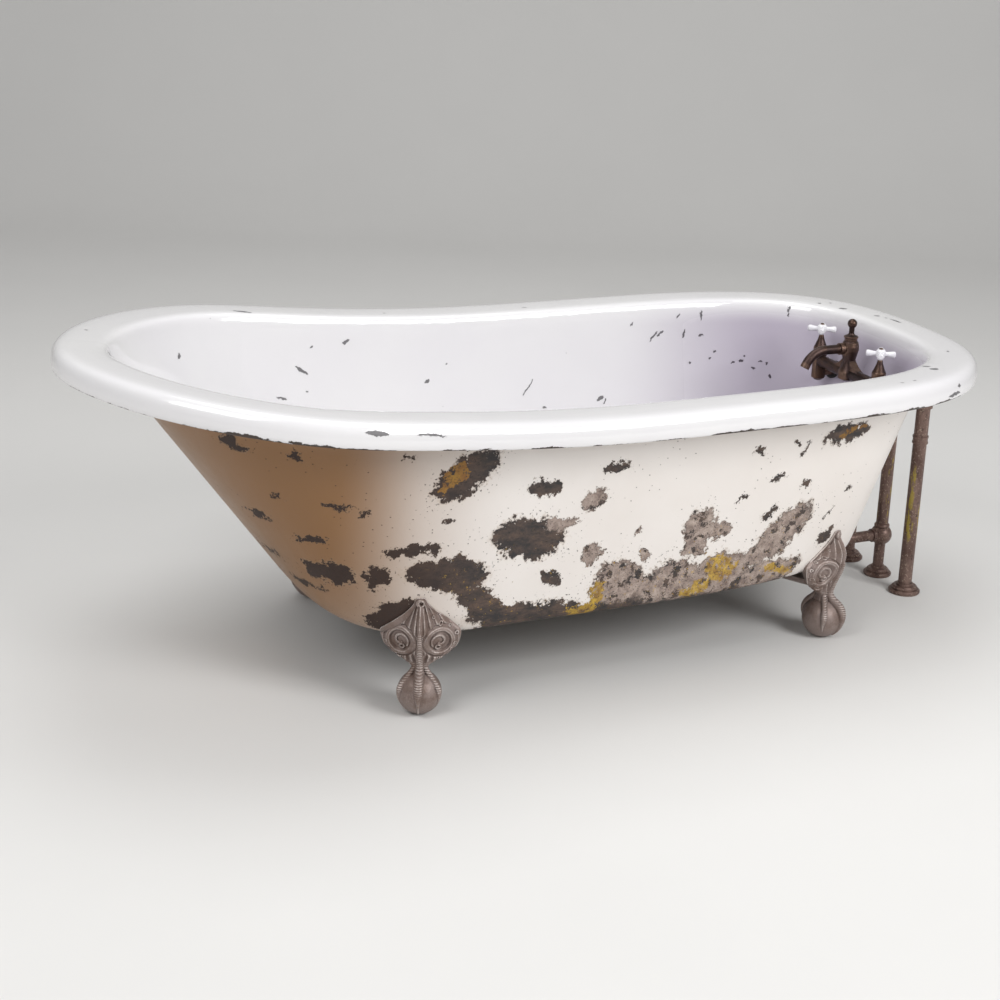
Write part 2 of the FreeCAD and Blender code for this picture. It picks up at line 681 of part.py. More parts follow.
def body_web():
    """Curved arms that carry the crossbar's back up into the column."""
    arms = []
    for side in (-1, 1):
        foot_inner = V(TAP_X, 0, CROSSBAR_HEIGHT)
        foot_outer = V(TAP_X, side * WEB_REACH, CROSSBAR_HEIGHT)
        tip = V(TAP_X, side * WEB_REACH, CROSSBAR_HEIGHT + CROSSBAR_RADIUS - 1)
        neck = V(TAP_X, side * (COLUMN_NECK_RADIUS - 2), COLUMN_NECK_HEIGHT + 6)
        sag = V(TAP_X, side * (COLUMN_NECK_RADIUS + 13), CROSSBAR_HEIGHT + CROSSBAR_RADIUS + 5)
        top = V(TAP_X, 0, COLUMN_NECK_HEIGHT + 6)
        edges = [
            Part.LineSegment(foot_inner, foot_outer).toShape(),
            Part.LineSegment(foot_outer, tip).toShape(),
            Part.Arc(tip, sag, neck).toShape(),
            Part.LineSegment(neck, top).toShape(),
            Part.LineSegment(top, foot_inner).toShape(),
        ]
        face = Part.Face(Part.Wire(edges))
        face.translate(V(-WEB_THICKNESS / 2, 0, 0))
        arms.append(face.extrude(V(WEB_THICKNESS, 0, 0)))
    return arms


def column_profile():
    low = CROSSBAR_HEIGHT - CROSSBAR_RADIUS - 2
    return [
        (0, low),
        (COLUMN_NECK_RADIUS, low),
        (COLUMN_BASE_RADIUS * 0.8, low + 4),
        (COLUMN_BASE_RADIUS * 0.8, CROSSBAR_HEIGHT + 4),
        (COLUMN_NECK_RADIUS + 2.5, COLUMN_NECK_HEIGHT - 8),
        (COLUMN_NECK_RADIUS, COLUMN_NECK_HEIGHT),
        (COLUMN_NECK_RADIUS + 1.5, COLUMN_NECK_HEIGHT + 6),
        (COLUMN_BULB_RADIUS - 1.5, COLUMN_BULB_HEIGHT - 9),
        (COLUMN_BULB_RADIUS, COLUMN_BULB_HEIGHT - 3),
        (COLUMN_BULB_RADIUS, COLUMN_BULB_HEIGHT + 4),
        (COLUMN_BULB_RADIUS - 2, COLUMN_BULB_HEIGHT + 12),
        (COLUMN_TOP_RADIUS, COLUMN_TOP - 5),
        (COLUMN_TOP_RADIUS, COLUMN_TOP),
        (0, COLUMN_TOP),
    ]


def tap_body():
    """Crossbar, two valve barrels, centre column and the shanks that pass through the end wall."""
    axis = V(TAP_X, 0, 0)
    near, far = valve_sides()
    crossbar_end = V(TAP_X, near, CROSSBAR_HEIGHT)
    solids = [rod(crossbar_end, ACROSS, CROSSBAR_RADIUS, far - near), turned(column_profile(), axis)]
    solids += body_web()
    waterways = [rod(crossbar_end, ACROSS, CROSSBAR_BORE, far - near)]
    waterways.append(rod(V(TAP_X, 0, CROSSBAR_HEIGHT), UP, COLUMN_BORE, FAR))
    waterways.append(rod(V(TAP_X, 0, SPOUT_HEIGHT), -ALONG, SPOUT_RADIUS + SLIP_FIT, FAR))
    seat_bottom = VALVE_SEAT_HEIGHT - VALVE_SEAT_THICKNESS
    for y in (near, far):
        barrel = turned(
            [
                (0, BARREL_BOTTOM - 4),
                (BARREL_RADIUS * 0.55, BARREL_BOTTOM - 3),
                (BARREL_RADIUS, BARREL_BOTTOM + 2),
                (BARREL_RADIUS, BARREL_TOP),
                (0, BARREL_TOP),
            ],
            V(TAP_X, y, 0),
        )
        solids.append(barrel)
        solids.append(rod(V(TAP_X, y, SHANK_HEIGHT), ALONG, SHANK_RADIUS, SHANK_END_X - TAP_X))
        lower = BARREL_BOTTOM + BARREL_FLOOR
        waterways.append(rod(V(TAP_X, y, lower), UP, BARREL_BORE, seat_bottom - lower))
        waterways.append(rod(V(TAP_X, y, lower), UP, VALVE_SEAT_HOLE, FAR))
        waterways.append(rod(V(TAP_X, y, VALVE_SEAT_HEIGHT), UP, BARREL_BORE, FAR))
        waterways.append(rod(V(TAP_X, y, SHANK_HEIGHT), ALONG, SHANK_BORE, FAR))
    return merged(solids).cut(waterways)


def spout_path(start_offset):
    """Centre line of the spout, from start_offset outside the column's axis to its mouth."""
    root = V(TAP_X - start_offset, 0, SPOUT_HEIGHT)
    bend = V(TAP_X - COLUMN_BULB_RADIUS - SPOUT_STRAIGHT, 0, SPOUT_HEIGHT)
    pivot = bend - UP * SPOUT_BEND_RADIUS
    turn = math.radians(SPOUT_BEND_ANGLE)
    half = turn / 2
    middle = pivot + V(-math.sin(half), 0, math.cos(half)) * SPOUT_BEND_RADIUS
    end = pivot + V(-math.sin(turn), 0, math.cos(turn)) * SPOUT_BEND_RADIUS
    mouth = end + V(-math.cos(turn), 0, -math.sin(turn)) * SPOUT_NOSE
    return Part.Wire(
        [
            Part.LineSegment(root, bend).toShape(),
            Part.Arc(bend, middle, end).toShape(),
            Part.LineSegment(end, mouth).toShape(),
        ]
    )


def spout_sweep(radius, start_offset):
    section = Part.Wire(Part.Circle(V(TAP_X - start_offset, 0, SPOUT_HEIGHT), -ALONG, radius).toShape())
    return spout_path(start_offset).makePipeShell([section], True, False)


def tap_spout():
    start = COLUMN_BORE + 1
    outer = spout_sweep(SPOUT_RADIUS, start)
    root = V(TAP_X - COLUMN_BULB_RADIUS - SEAT_GAP, 0, SPOUT_HEIGHT)
    collar = rod(root, -ALONG, SPOUT_ROOT_RADIUS, SPOUT_ROOT_LENGTH)
    return outer.fuse(collar).cut(spout_sweep(SPOUT_BORE, start))


def finial_cap():
    """Cap that closes the top of the column, with its disc, neck and ball."""
    axis = V(TAP_X, 0, 0)
    disc_top = COLUMN_TOP + CAP_DISC_THICKNESS
    cap = turned(
        [
            (0, COLUMN_TOP - CAP_SPIGOT),
            (COLUMN_BORE - SLIP_FIT, COLUMN_TOP - CAP_SPIGOT),
            (COLUMN_BORE - SLIP_FIT, COLUMN_TOP),
            (CAP_DISC_RADIUS - 1.5, COLUMN_TOP),
            (CAP_DISC_RADIUS, COLUMN_TOP + 1.5),
            (CAP_DISC_RADIUS, disc_top - 1.5),
            (CAP_DISC_RADIUS - 3, disc_top),
            (FINIAL_NECK_RADIUS + 1.5, disc_top + 2),
            (FINIAL_NECK_RADIUS, disc_top + 5),
            (FINIAL_NECK_RADIUS, FINIAL_BALL_HEIGHT),
            (0, FINIAL_BALL_HEIGHT),
        ],
        axis,
    )
    return merged([cap, Part.makeSphere(FINIAL_BALL_RADIUS, V(TAP_X, 0, FINIAL_BALL_HEIGHT))])


def bonnet(y):
    """Conical cover of a valve, screwed into the top of its barrel."""
    spindle_bore = SPINDLE_RADIUS + TURNING_FIT
    neck_bore = SPINDLE_NECK_RADIUS + TURNING_FIT
    packing_top = SPINDLE_SHOULDER + TURNING_FIT + PACKING_HEIGHT
    return turned(
        [
            (spindle_bore, BARREL_TOP - BONNET_SPIGOT),
            (BARREL_BORE - SLIP_FIT, BARREL_TOP - BONNET_SPIGOT),
            (BARREL_BORE - SLIP_FIT, BARREL_TOP),
            (BARREL_RADIUS, BARREL_TOP),
            (BONNET_BASE_RADIUS, BARREL_TOP + BONNET_SKIRT),
            (BONNET_TOP_RADIUS + 1.6, BONNET_TOP - 8),
            (BONNET_TOP_RADIUS, BONNET_TOP - 1),
            (BONNET_TOP_RADIUS - 0.6, BONNET_TOP),
            (neck_bore, BONNET_TOP),
            (neck_bore, packing_top),
            (spindle_bore, packing_top),
        ],
        V(TAP_X, y, 0),
    )


def packing(y):
    """Ring of packing between the spindle's shoulder and the bonnet."""
    start = V(TAP_X, y, SPINDLE_SHOULDER + TURNING_FIT)
    return tube(start, UP, SPINDLE_RADIUS, SPINDLE_NECK_RADIUS + TURNING_FIT, PACKING_HEIGHT)


def spindle(y):
    """Spindle that turns with the handle, above the jumper that closes the seat."""
    solid = turned(
        [
            (0, SPINDLE_BOTTOM),
            (SPINDLE_RADIUS, SPINDLE_BOTTOM),
            (SPINDLE_RADIUS, SPINDLE_SHOULDER),
            (SPINDLE_NECK_RADIUS, SPINDLE_SHOULDER),
            (SPINDLE_NECK_RADIUS, SPINDLE_TOP),
            (0, SPINDLE_TOP),
        ],
        V(TAP_X, y, 0),
    )
    socket_depth = JUMPER_PIN_LENGTH + VALVE_LIFT
    socket = rod(V(TAP_X, y, SPINDLE_BOTTOM), UP, JUMPER_PIN_RADIUS + TURNING_FIT, socket_depth)
    screw_hole = rod(
        V(TAP_X, y, SPINDLE_TOP), -UP, HANDLE_SCREW_RADIUS + SLIP_FIT, HANDLE_SCREW_LENGTH
    )
    return solid.cut([socket, screw_hole])


def jumper_base():
    return VALVE_SEAT_HEIGHT + SLIP_FIT


def jumper_washer(y):
    """Rubber washer that closes the valve seat."""
    return rod(V(TAP_X, y, jumper_base()), UP, JUMPER_RADIUS, VALVE_WASHER_THICKNESS)


def jumper(y):
    """Brass carrier of the washer, with the pin that runs in the spindle."""
    base = V(TAP_X, y, jumper_base() + VALVE_WASHER_THICKNESS)
    plate = rod(base, UP, JUMPER_RADIUS, JUMPER_THICKNESS)
    pin_top = SPINDLE_BOTTOM + JUMPER_PIN_LENGTH - 2
    return merged([plate, rod(base, UP, JUMPER_PIN_RADIUS, pin_top - base.z)])


def cross_handle(y):
    """White cross handle with four arms that swell towards their ends."""
    top = HANDLE_HEIGHT + HUB_HALF_HEIGHT
    bottom = HANDLE_HEIGHT - HUB_HALF_HEIGHT
    hub = turned(
        [
            (0, bottom),
            (HUB_RADIUS * 0.55, bottom),
            (HUB_RADIUS * 0.9, bottom + 4),
            (HUB_RADIUS, HANDLE_HEIGHT - 1),
            (HUB_RADIUS, HANDLE_HEIGHT + 2),
            (HUB_RADIUS * 0.9, top - 3),
            (HUB_RADIUS * 0.6, top),
            (0, top),
        ],
        V(TAP_X, y, 0),
    )
    solids = [hub]
    for k in range(4):
        angle = math.radians(HANDLE_TURN + 90 * k)
        heading = V(math.cos(angle), math.sin(angle), 0)
        middle = V(TAP_X, y, HANDLE_HEIGHT)
        points = [middle + heading * (ARM_REACH * share) for share in (0.1, 0.45, 0.8, 0.92)]
        points.append(middle + heading * ARM_REACH)
        radii = [ARM_ROOT_RADIUS] * 2 + [ARM_END_RADIUS] * 2 + [ARM_END_RADIUS - ARM_TIP_ROUND]
        solids.append(tapered_rib(points, radii))
    handle = solids[0].fuse(solids[1:])
    bore = rod(V(TAP_X, y, bottom - 1), UP, SPINDLE_NECK_RADIUS + SLIP_FIT, SPINDLE_TOP - bottom + 1)
    screw_way = rod(V(TAP_X, y, bottom), UP, HANDLE_SCREW_RADIUS + SLIP_FIT, FAR)
    return handle.cut([bore, screw_way])


def handle_screw(y):
    """Round-headed screw that holds the cross on its spindle."""
    top = HANDLE_HEIGHT + HUB_HALF_HEIGHT
    head = turned(
        [
            (0, top),
            (HANDLE_SCREW_HEAD, top),
            (HANDLE_SCREW_HEAD * 0.85, top + HANDLE_SCREW_RISE * 0.7),
            (HANDLE_SCREW_HEAD * 0.4, top + HANDLE_SCREW_RISE),
            (0, top + HANDLE_SCREW_RISE),
        ],
        V(TAP_X, y, 0),
    )
    reach = top - SPINDLE_TOP + HANDLE_SCREW_LENGTH - 1
    return merged([head, rod(V(TAP_X, y, top + 0.5), -UP, HANDLE_SCREW_RADIUS, reach + 0.5)])


def wall_fixings():
    """What clamps the shanks in the end wall: washers inside and outside, lock nuts and union nuts."""
    inside = outside_of_basin(-WALL - SEAT_GAP)
    inside_face = outside_of_basin(-WALL - SEAT_GAP - WALL_WASHER_THICKNESS)
    outside = outside_of_basin(SEAT_GAP)
    inner_washers = []
    outer_washers = []
    locknuts = []
    unions = []
    bore = SHANK_RADIUS + SLIP_FIT
    union_start = SHANK_END_X - UNION_LENGTH + UNION_LENGTH / 2
    for y in valve_sides():
        start = V(TAP_X, y, SHANK_HEIGHT)
        ring = tube(start, ALONG, WALL_WASHER_RADIUS, bore, PIPE_X - TAP_X)
        inner_washers.append(ring.common(inside).cut(inside_face))
        wedge_end = union_start - SEAT_GAP - LOCKNUT_THICKNESS
        wedge = tube(start, ALONG, WALL_WASHER_RADIUS, bore, wedge_end - SEAT_GAP - TAP_X)
        outer_washers.append(wedge.cut(outside))
        nut = hexagon(V(wedge_end, y, SHANK_HEIGHT), ALONG, LOCKNUT_RADIUS, LOCKNUT_THICKNESS)
        locknuts.append(nut.cut(rod(V(wedge_end, y, SHANK_HEIGHT), ALONG, bore, LOCKNUT_THICKNESS)))
        union = hexagon(V(union_start, y, SHANK_HEIGHT), ALONG, UNION_RADIUS, UNION_LENGTH)
        unions.append(union.cut(rod(V(union_start, y, SHANK_HEIGHT), ALONG, bore, UNION_LENGTH)))
    return {
        "tap_inner_washers": Part.makeCompound(inner_washers),
        "tap_outer_washers": Part.makeCompound(outer_washers),
        "tap_lock_nuts": Part.makeCompound(locknuts),
        "supply_union_nuts": Part.makeCompound(unions),
    }


# ---- supply pipes ----------------------------------------------------------------------
def supply_elbow(y):
    """Elbow from a shank down to its supply pipe."""
    corner = V(PIPE_X, y, SHANK_HEIGHT)
    mouth = V(SHANK_END_X + SEAT_GAP, y, SHANK_HEIGHT)
    low = SHANK_HEIGHT - ELBOW_RADIUS - PIPE_SOCKET
    nose = PIPE_X - mouth.x
    spigot = SHANK_RADIUS
    behind_nut = V(SHANK_END_X + UNION_LENGTH / 2 + SEAT_GAP, y, SHANK_HEIGHT)
    solids = [
        rod(mouth, ALONG, spigot, nose),
        rod(behind_nut, ALONG, ELBOW_RADIUS - 1, nose / 2),
        Part.makeSphere(ELBOW_RADIUS, corner),
        rod(V(PIPE_X, y, low), UP, ELBOW_RADIUS, SHANK_HEIGHT - low),
        rod(V(PIPE_X, y, low), UP, ELBOW_RADIUS + 1.5, 5),
    ]
    ways = [
        rod(mouth, ALONG, SHANK_BORE, nose),
        rod(V(PIPE_X, y, low), UP, PIPE_RADIUS + SLIP_FIT, PIPE_SOCKET),
        rod(V(PIPE_X, y, low), UP, PIPE_BORE - 2, SHANK_HEIGHT - low),
        Part.makeSphere(PIPE_BORE - 2, corner),
    ]
    return merged(solids).cut(ways)


def supply_pipe(y):
    top = SHANK_HEIGHT - ELBOW_RADIUS - SEAT_GAP
    return tube(V(PIPE_X, y, 0), UP, PIPE_RADIUS, PIPE_BORE, top)


def pipe_coupling(y):
    """Sleeve with a bead at each end that joins the two lengths of a supply pipe."""
    bore = PIPE_RADIUS + SLIP_FIT
    sleeve = bore + COUPLING_SLEEVE
    bead = bore + COUPLING_BEAD
    low = COUPLING_HEIGHT - COUPLING_LENGTH / 2
    high = COUPLING_HEIGHT + COUPLING_LENGTH / 2
    return turned(
        [
            (bore, low),
            (bead, low),
            (bead, low + COUPLING_BEAD_WIDTH),
            (sleeve, low + COUPLING_BEAD_WIDTH),
            (sleeve, high - COUPLING_BEAD_WIDTH),
            (bead, high - COUPLING_BEAD_WIDTH),
            (bead, high),
            (bore, high),
        ],
        V(PIPE_X, y, 0),
    )


def floor_flange(centre, pipe_radius, radius, step_radius):
    """Stepped plate that lies on the floor round a pipe."""
    bore = pipe_radius + SLIP_FIT
    step = FLANGE_THICKNESS + FLANGE_STEP_THICKNESS
    return turned(
        [
            (bore, 0),
            (radius - 1, 0),
            (radius, 2),
            (radius, FLANGE_THICKNESS - 3),
            (radius - 3, FLANGE_THICKNESS),
            (step_radius, FLANGE_THICKNESS),
            (step_radius, step - 3),
            (step_radius - 3, step),
            (bore + FLANGE_COLLAR, step),
            (bore + FLANGE_COLLAR - 1, step + FLANGE_COLLAR_HEIGHT),
            (bore, step + FLANGE_COLLAR_HEIGHT),
        ],
        centre,
    )


# ---- waste and overflow ----------------------------------------------------------------
def drain_strainer():
    """Flanged drain with a cross of bars in its throat."""
    top = BELLY_HEIGHT + WALL
    axis = V(DRAIN_X, 0, 0)
    body = turned(
        [
            (STRAINER_BORE, top - STRAINER_SPIGOT_LENGTH),
            (STRAINER_SPIGOT_RADIUS, top - STRAINER_SPIGOT_LENGTH),
            (STRAINER_SPIGOT_RADIUS, top),
            (STRAINER_RADIUS, top),
            (STRAINER_RADIUS - 1, top + 1.5),
            (STRAINER_BORE + 6, top + STRAINER_THICKNESS),
            (STRAINER_BORE, top + STRAINER_THICKNESS),
        ],
        axis,
    )
    low = top - STRAINER_BAR_DEPTH
    reach = STRAINER_BORE + 0.5
    bars = [
        Part.makeBox(2 * reach, STRAINER_BAR, STRAINER_BAR, V(DRAIN_X - reach, -STRAINER_BAR / 2, low)),
        Part.makeBox(STRAINER_BAR, 2 * reach, STRAINER_BAR, V(DRAIN_X - STRAINER_BAR / 2, -reach, low)),
    ]
    return merged([body] + bars)


def drain_gasket():
    base = V(DRAIN_X, 0, BELLY_HEIGHT - DRAIN_GASKET_THICKNESS)
    bore = STRAINER_SPIGOT_RADIUS + SLIP_FIT
    return tube(base, UP, DRAIN_GASKET_RADIUS, bore, DRAIN_GASKET_THICKNESS)


def drain_shoe():
    """Cup under the drain with a socket towards the tap end."""
    top = BELLY_HEIGHT - DRAIN_GASKET_THICKNESS
    cup = rod(V(DRAIN_X, 0, SHOE_BOTTOM), UP, SHOE_RADIUS, top - SHOE_BOTTOM)
    lip = rod(V(DRAIN_X, 0, top - 6), UP, DRAIN_GASKET_RADIUS, 6)
    socket = rod(V(DRAIN_X, 0, TEE_HEIGHT), ALONG, SHOE_SOCKET_RADIUS, SHOE_SOCKET_REACH)
    floor = SHOE_BOTTOM + SHOE_FLOOR
    ways = [
        rod(V(DRAIN_X, 0, floor), UP, STRAINER_SPIGOT_RADIUS + SLIP_FIT, FAR / 4),
        rod(V(DRAIN_X, 0, TEE_HEIGHT), ALONG, WASTE_BORE, SHOE_SOCKET_REACH),
        rod(V(DRAIN_X + SHOE_RADIUS, 0, TEE_HEIGHT), ALONG, WASTE_RADIUS + SLIP_FIT, SHOE_SOCKET_REACH),
    ]
    return merged([cup, lip, socket]).cut(ways)


def slip_nut():
    start = V(DRAIN_X + SHOE_SOCKET_REACH + SEAT_GAP, 0, TEE_HEIGHT)
    nut = hexagon(start, ALONG, SLIP_NUT_RADIUS, SLIP_NUT_LENGTH)
    return nut.cut(rod(start, ALONG, WASTE_RADIUS + SLIP_FIT, SLIP_NUT_LENGTH))


def waste_tube():
    """Level tube under the basin, from the drain shoe to the ball tee."""
    start = DRAIN_X + SHOE_RADIUS + 1
    end = STANDPIPE_X - TEE_RADIUS + 2
    return tube(V(start, 0, TEE_HEIGHT), ALONG, WASTE_RADIUS, WASTE_BORE, end - start)


def ring_nut():
    end = STANDPIPE_X - math.sqrt(TEE_RADIUS**2 - RING_NUT_RADIUS**2) - SEAT_GAP
    start = V(end - RING_NUT_LENGTH, 0, TEE_HEIGHT)
    bore = rod(start, ALONG, WASTE_RADIUS + SLIP_FIT, FAR)
    ball = Part.makeSphere(TEE_RADIUS + SEAT_GAP, V(STANDPIPE_X, 0, TEE_HEIGHT))
    return rod(start, ALONG, RING_NUT_RADIUS, RING_NUT_LENGTH + 6).cut([bore, ball])


def ball_tee():
    """Hollow ball that joins the standpipe, the level waste tube and the neck to the floor."""
    centre = V(STANDPIPE_X, 0, TEE_HEIGHT)
    ball = Part.makeSphere(TEE_RADIUS, centre)
    ways = [
        Part.makeSphere(TEE_BORE, centre),
        rod(centre, UP, STANDPIPE_RADIUS + SLIP_FIT, FAR),
        rod(centre, -UP, NECK_RADIUS + SLIP_FIT, FAR),
        rod(centre, -ALONG, WASTE_RADIUS + SLIP_FIT, FAR),
    ]
    return ball.cut(ways)


def tee_pipe_reach(radius):
    """How far from the tee's centre a pipe of this radius ends, just inside the ball's wall."""
    return math.sqrt(TEE_RADIUS**2 - radius**2) - (TEE_RADIUS - TEE_BORE) * 0.6


def tee_collar():
    low = TEE_HEIGHT + math.sqrt(TEE_RADIUS**2 - COLLAR_RADIUS**2) + SEAT_GAP
    bore = STANDPIPE_RADIUS + SLIP_FIT
    ring = turned(
        [
            (bore, low - 4),
            (COLLAR_RADIUS - 1, low - 4),
            (COLLAR_RADIUS - 1, low + 1),
            (COLLAR_RADIUS, low + 2.5),
            (COLLAR_RADIUS, low + COLLAR_HEIGHT - 2),
            (COLLAR_RADIUS - 1.5, low + COLLAR_HEIGHT),
            (bore, low + COLLAR_HEIGHT),
        ],
        V(STANDPIPE_X, 0, 0),
    )
    return ring.cut(Part.makeSphere(TEE_RADIUS + SEAT_GAP, V(STANDPIPE_X, 0, TEE_HEIGHT)))


def standpipe():
    """Overflow pipe outside the end wall."""
    low = TEE_HEIGHT + tee_pipe_reach(STANDPIPE_RADIUS)
    top = OVERFLOW_HEIGHT - OVERFLOW_ELBOW_RADIUS - SEAT_GAP
    return tube(V(STANDPIPE_X, 0, low), UP, STANDPIPE_RADIUS, STANDPIPE_BORE, top - low)


def waste_neck():
    """Short pipe from the ball tee down to the floor."""
    top = TEE_HEIGHT - tee_pipe_reach(NECK_RADIUS)
    return tube(V(STANDPIPE_X, 0, 0), UP, NECK_RADIUS, NECK_BORE, top)


def end_wall_x(envelope, height):
    """X at which the middle of the tap end's wall, as the envelope has it, stands at a height."""
    level = Part.makeLine(V(0, 0, height), V(RIM_LENGTH, 0, height))
    return max(vertex.X for vertex in envelope.common(level).Vertexes)


def overflow_fittings():
    """Plate and screw inside the end wall, gasket and elbow outside it."""
    inner = outside_of_basin(-WALL - SEAT_GAP)
    plate_face = outside_of_basin(-WALL - SEAT_GAP - OVERFLOW_PLATE_THICKNESS)
    outer = outside_of_basin(SEAT_GAP)
    gasket_face = outside_of_basin(SEAT_GAP + OVERFLOW_GASKET_THICKNESS)
    head_face = outside_of_basin(2 * SEAT_GAP + OVERFLOW_GASKET_THICKNESS)
    start = V(TAP_X - FAR / 8, 0, OVERFLOW_HEIGHT)
    wall_x = end_wall_x(outer, OVERFLOW_HEIGHT + OVERFLOW_HEAD_RADIUS)

    plate = rod(start, ALONG, OVERFLOW_PLATE_RADIUS, FAR / 4).common(inner).cut(plate_face)
    holes = [rod(start, ALONG, OVERFLOW_SCREW_RADIUS + SLIP_FIT, FAR / 4)]
    for k in range(OVERFLOW_SLOTS):
        angle = 2 * math.pi * k / OVERFLOW_SLOTS
        offset = V(0, math.cos(angle), math.sin(angle)) * OVERFLOW_SLOT_CIRCLE
        holes.append(rod(start + offset, ALONG, OVERFLOW_SLOT_RADIUS, FAR / 4))
    plate = plate.cut(holes)

    gasket = tube(start, ALONG, OVERFLOW_GASKET_RADIUS, OVERFLOW_HOLE_RADIUS, FAR / 4)
    gasket = gasket.common(gasket_face).cut(outer)

    head_end = wall_x + OVERFLOW_GASKET_THICKNESS + OVERFLOW_HEAD_LENGTH
    head = rod(start, ALONG, OVERFLOW_HEAD_RADIUS, head_end - start.x).cut(head_face)
    low = OVERFLOW_HEIGHT - OVERFLOW_ELBOW_RADIUS - PIPE_SOCKET
    corner = V(STANDPIPE_X, 0, OVERFLOW_HEIGHT)
    arm_start = V(head_end - 4, 0, OVERFLOW_HEIGHT)
    elbow = merged(
        [
            head,
            rod(arm_start, ALONG, OVERFLOW_ELBOW_RADIUS, STANDPIPE_X - arm_start.x),
            Part.makeSphere(OVERFLOW_ELBOW_RADIUS, corner),
            rod(V(STANDPIPE_X, 0, low), UP, OVERFLOW_ELBOW_RADIUS, OVERFLOW_HEIGHT - low),
        ]
    )
    ways = [
        rod(start, ALONG, OVERFLOW_HEAD_RADIUS - 4, head_end - 4 - start.x),
        rod(start, ALONG, STANDPIPE_BORE, STANDPIPE_X - start.x),
        Part.makeSphere(STANDPIPE_BORE, corner),
        rod(V(STANDPIPE_X, 0, low), UP, STANDPIPE_BORE, OVERFLOW_HEIGHT - low),
        rod(V(STANDPIPE_X, 0, low), UP, STANDPIPE_RADIUS + SLIP_FIT, PIPE_SOCKET),
    ]
    bridge = Part.makeBox(
        OVERFLOW_BRIDGE,
        2 * OVERFLOW_HEAD_RADIUS - 4,
        OVERFLOW_BRIDGE,
        V(head_end - 4 - OVERFLOW_BRIDGE, -OVERFLOW_HEAD_RADIUS + 2, OVERFLOW_HEIGHT - OVERFLOW_BRIDGE / 2),
    )
    elbow = elbow.cut(ways).fuse(bridge)
    elbow = elbow.cut(rod(start, ALONG, OVERFLOW_SCREW_RADIUS + SLIP_FIT, head_end - start.x - 5))

    screw_tip = head_end - 5
    screw_seat = end_wall_x(plate_face, OVERFLOW_HEIGHT - OVERFLOW_SCREW_HEAD) - SLIP_FIT
    shank_start = V(screw_seat - 1, 0, OVERFLOW_HEIGHT)
    screw = merged(
        [
            rod(V(screw_seat - 3, 0, OVERFLOW_HEIGHT), ALONG, OVERFLOW_SCREW_HEAD, 3),
            rod(shank_start, ALONG, OVERFLOW_SCREW_RADIUS, screw_tip - screw_seat),
        ]
    )
    return {
        "overflow_plate": plate,
        "overflow_gasket": gasket,
        "overflow_elbow": elbow,
        "overflow_screw": screw,
    }


def drain_plug():
    """Rubber plug with a knob, seated in the drain."""
    seat = BELLY_HEIGHT + WALL + STRAINER_THICKNESS + SEAT_GAP
    return turned(
        [
            (0, seat - PLUG_DEPTH),
            (PLUG_RADIUS - 1.5, seat - PLUG_DEPTH),
            (PLUG_RADIUS, seat),
            (PLUG_FLANGE_RADIUS, seat),
            (PLUG_FLANGE_RADIUS - 1, seat + PLUG_FLANGE_THICKNESS),
            (PLUG_KNOB_RADIUS * 0.6, seat + PLUG_FLANGE_THICKNESS + 1),
            (PLUG_KNOB_RADIUS * 0.6, seat + PLUG_KNOB_HEIGHT - 4),
            (PLUG_KNOB_RADIUS, seat + PLUG_KNOB_HEIGHT - 2),
            (PLUG_KNOB_RADIUS * 0.8, seat + PLUG_KNOB_HEIGHT),
            (0, seat + PLUG_KNOB_HEIGHT),
        ],
        V(DRAIN_X, 0, 0),
    )


# ---- the whole tub ---------------------------------------------------------------------
def all_pieces():
    pieces = {"tub_shell": tub_shell()}
    pieces.update(feet())
    pieces.update(foot_fasteners())
    pieces["tap_body"] = tap_body()
    pieces["tap_spout"] = tap_spout()
    pieces["finial_cap"] = finial_cap()
    for name, y in zip(("cold", "hot"), valve_sides()):
        pieces[f"{name}_bonnet"] = bonnet(y)
        pieces[f"{name}_packing"] = packing(y)
        pieces[f"{name}_spindle"] = spindle(y)
        pieces[f"{name}_jumper"] = jumper(y)
        pieces[f"{name}_jumper_washer"] = jumper_washer(y)
        pieces[f"{name}_cross_handle"] = cross_handle(y)
        pieces[f"{name}_handle_screw"] = handle_screw(y)
        pieces[f"{name}_supply_elbow"] = supply_elbow(y)
        pieces[f"{name}_supply_pipe"] = supply_pipe(y)
        pieces[f"{name}_pipe_coupling"] = pipe_coupling(y)
        pipe_foot = V(PIPE_X, y, 0)
        flange = floor_flange(pipe_foot, PIPE_RADIUS, FLANGE_RADIUS, FLANGE_STEP_RADIUS)
        pieces[f"{name}_floor_flange"] = flange
    pieces.update(wall_fixings())
    pieces["drain_strainer"] = drain_strainer()
    pieces["drain_gasket"] = drain_gasket()
    pieces["drain_shoe"] = drain_shoe()
    pieces["drain_plug"] = drain_plug()
    pieces["waste_slip_nut"] = slip_nut()
    pieces["waste_tube"] = waste_tube()
    pieces["waste_ring_nut"] = ring_nut()
    pieces["ball_tee"] = ball_tee()
    pieces["tee_collar"] = tee_collar()
    pieces["standpipe"] = standpipe()
    pieces["waste_neck"] = waste_neck()
    step_radius = WASTE_FLANGE_RADIUS - (FLANGE_RADIUS - FLANGE_STEP_RADIUS)
    neck_foot = V(STANDPIPE_X, 0, 0)
    waste_flange = floor_flange(neck_foot, NECK_RADIUS, WASTE_FLANGE_RADIUS, step_radius)
    pieces["waste_floor_flange"] = waste_flange
    pieces.update(overflow_fittings())
    return pieces


def main():
    os.makedirs("parts", exist_ok=True)
    for name, shape in all_pieces().items():
        shape.exportStep(f"parts/{name}.step")
        solids = shape.Solids
        print(name, len(solids), shape.isValid(), round(sum(s.Volume for s in solids) / 1000, 2))


main()
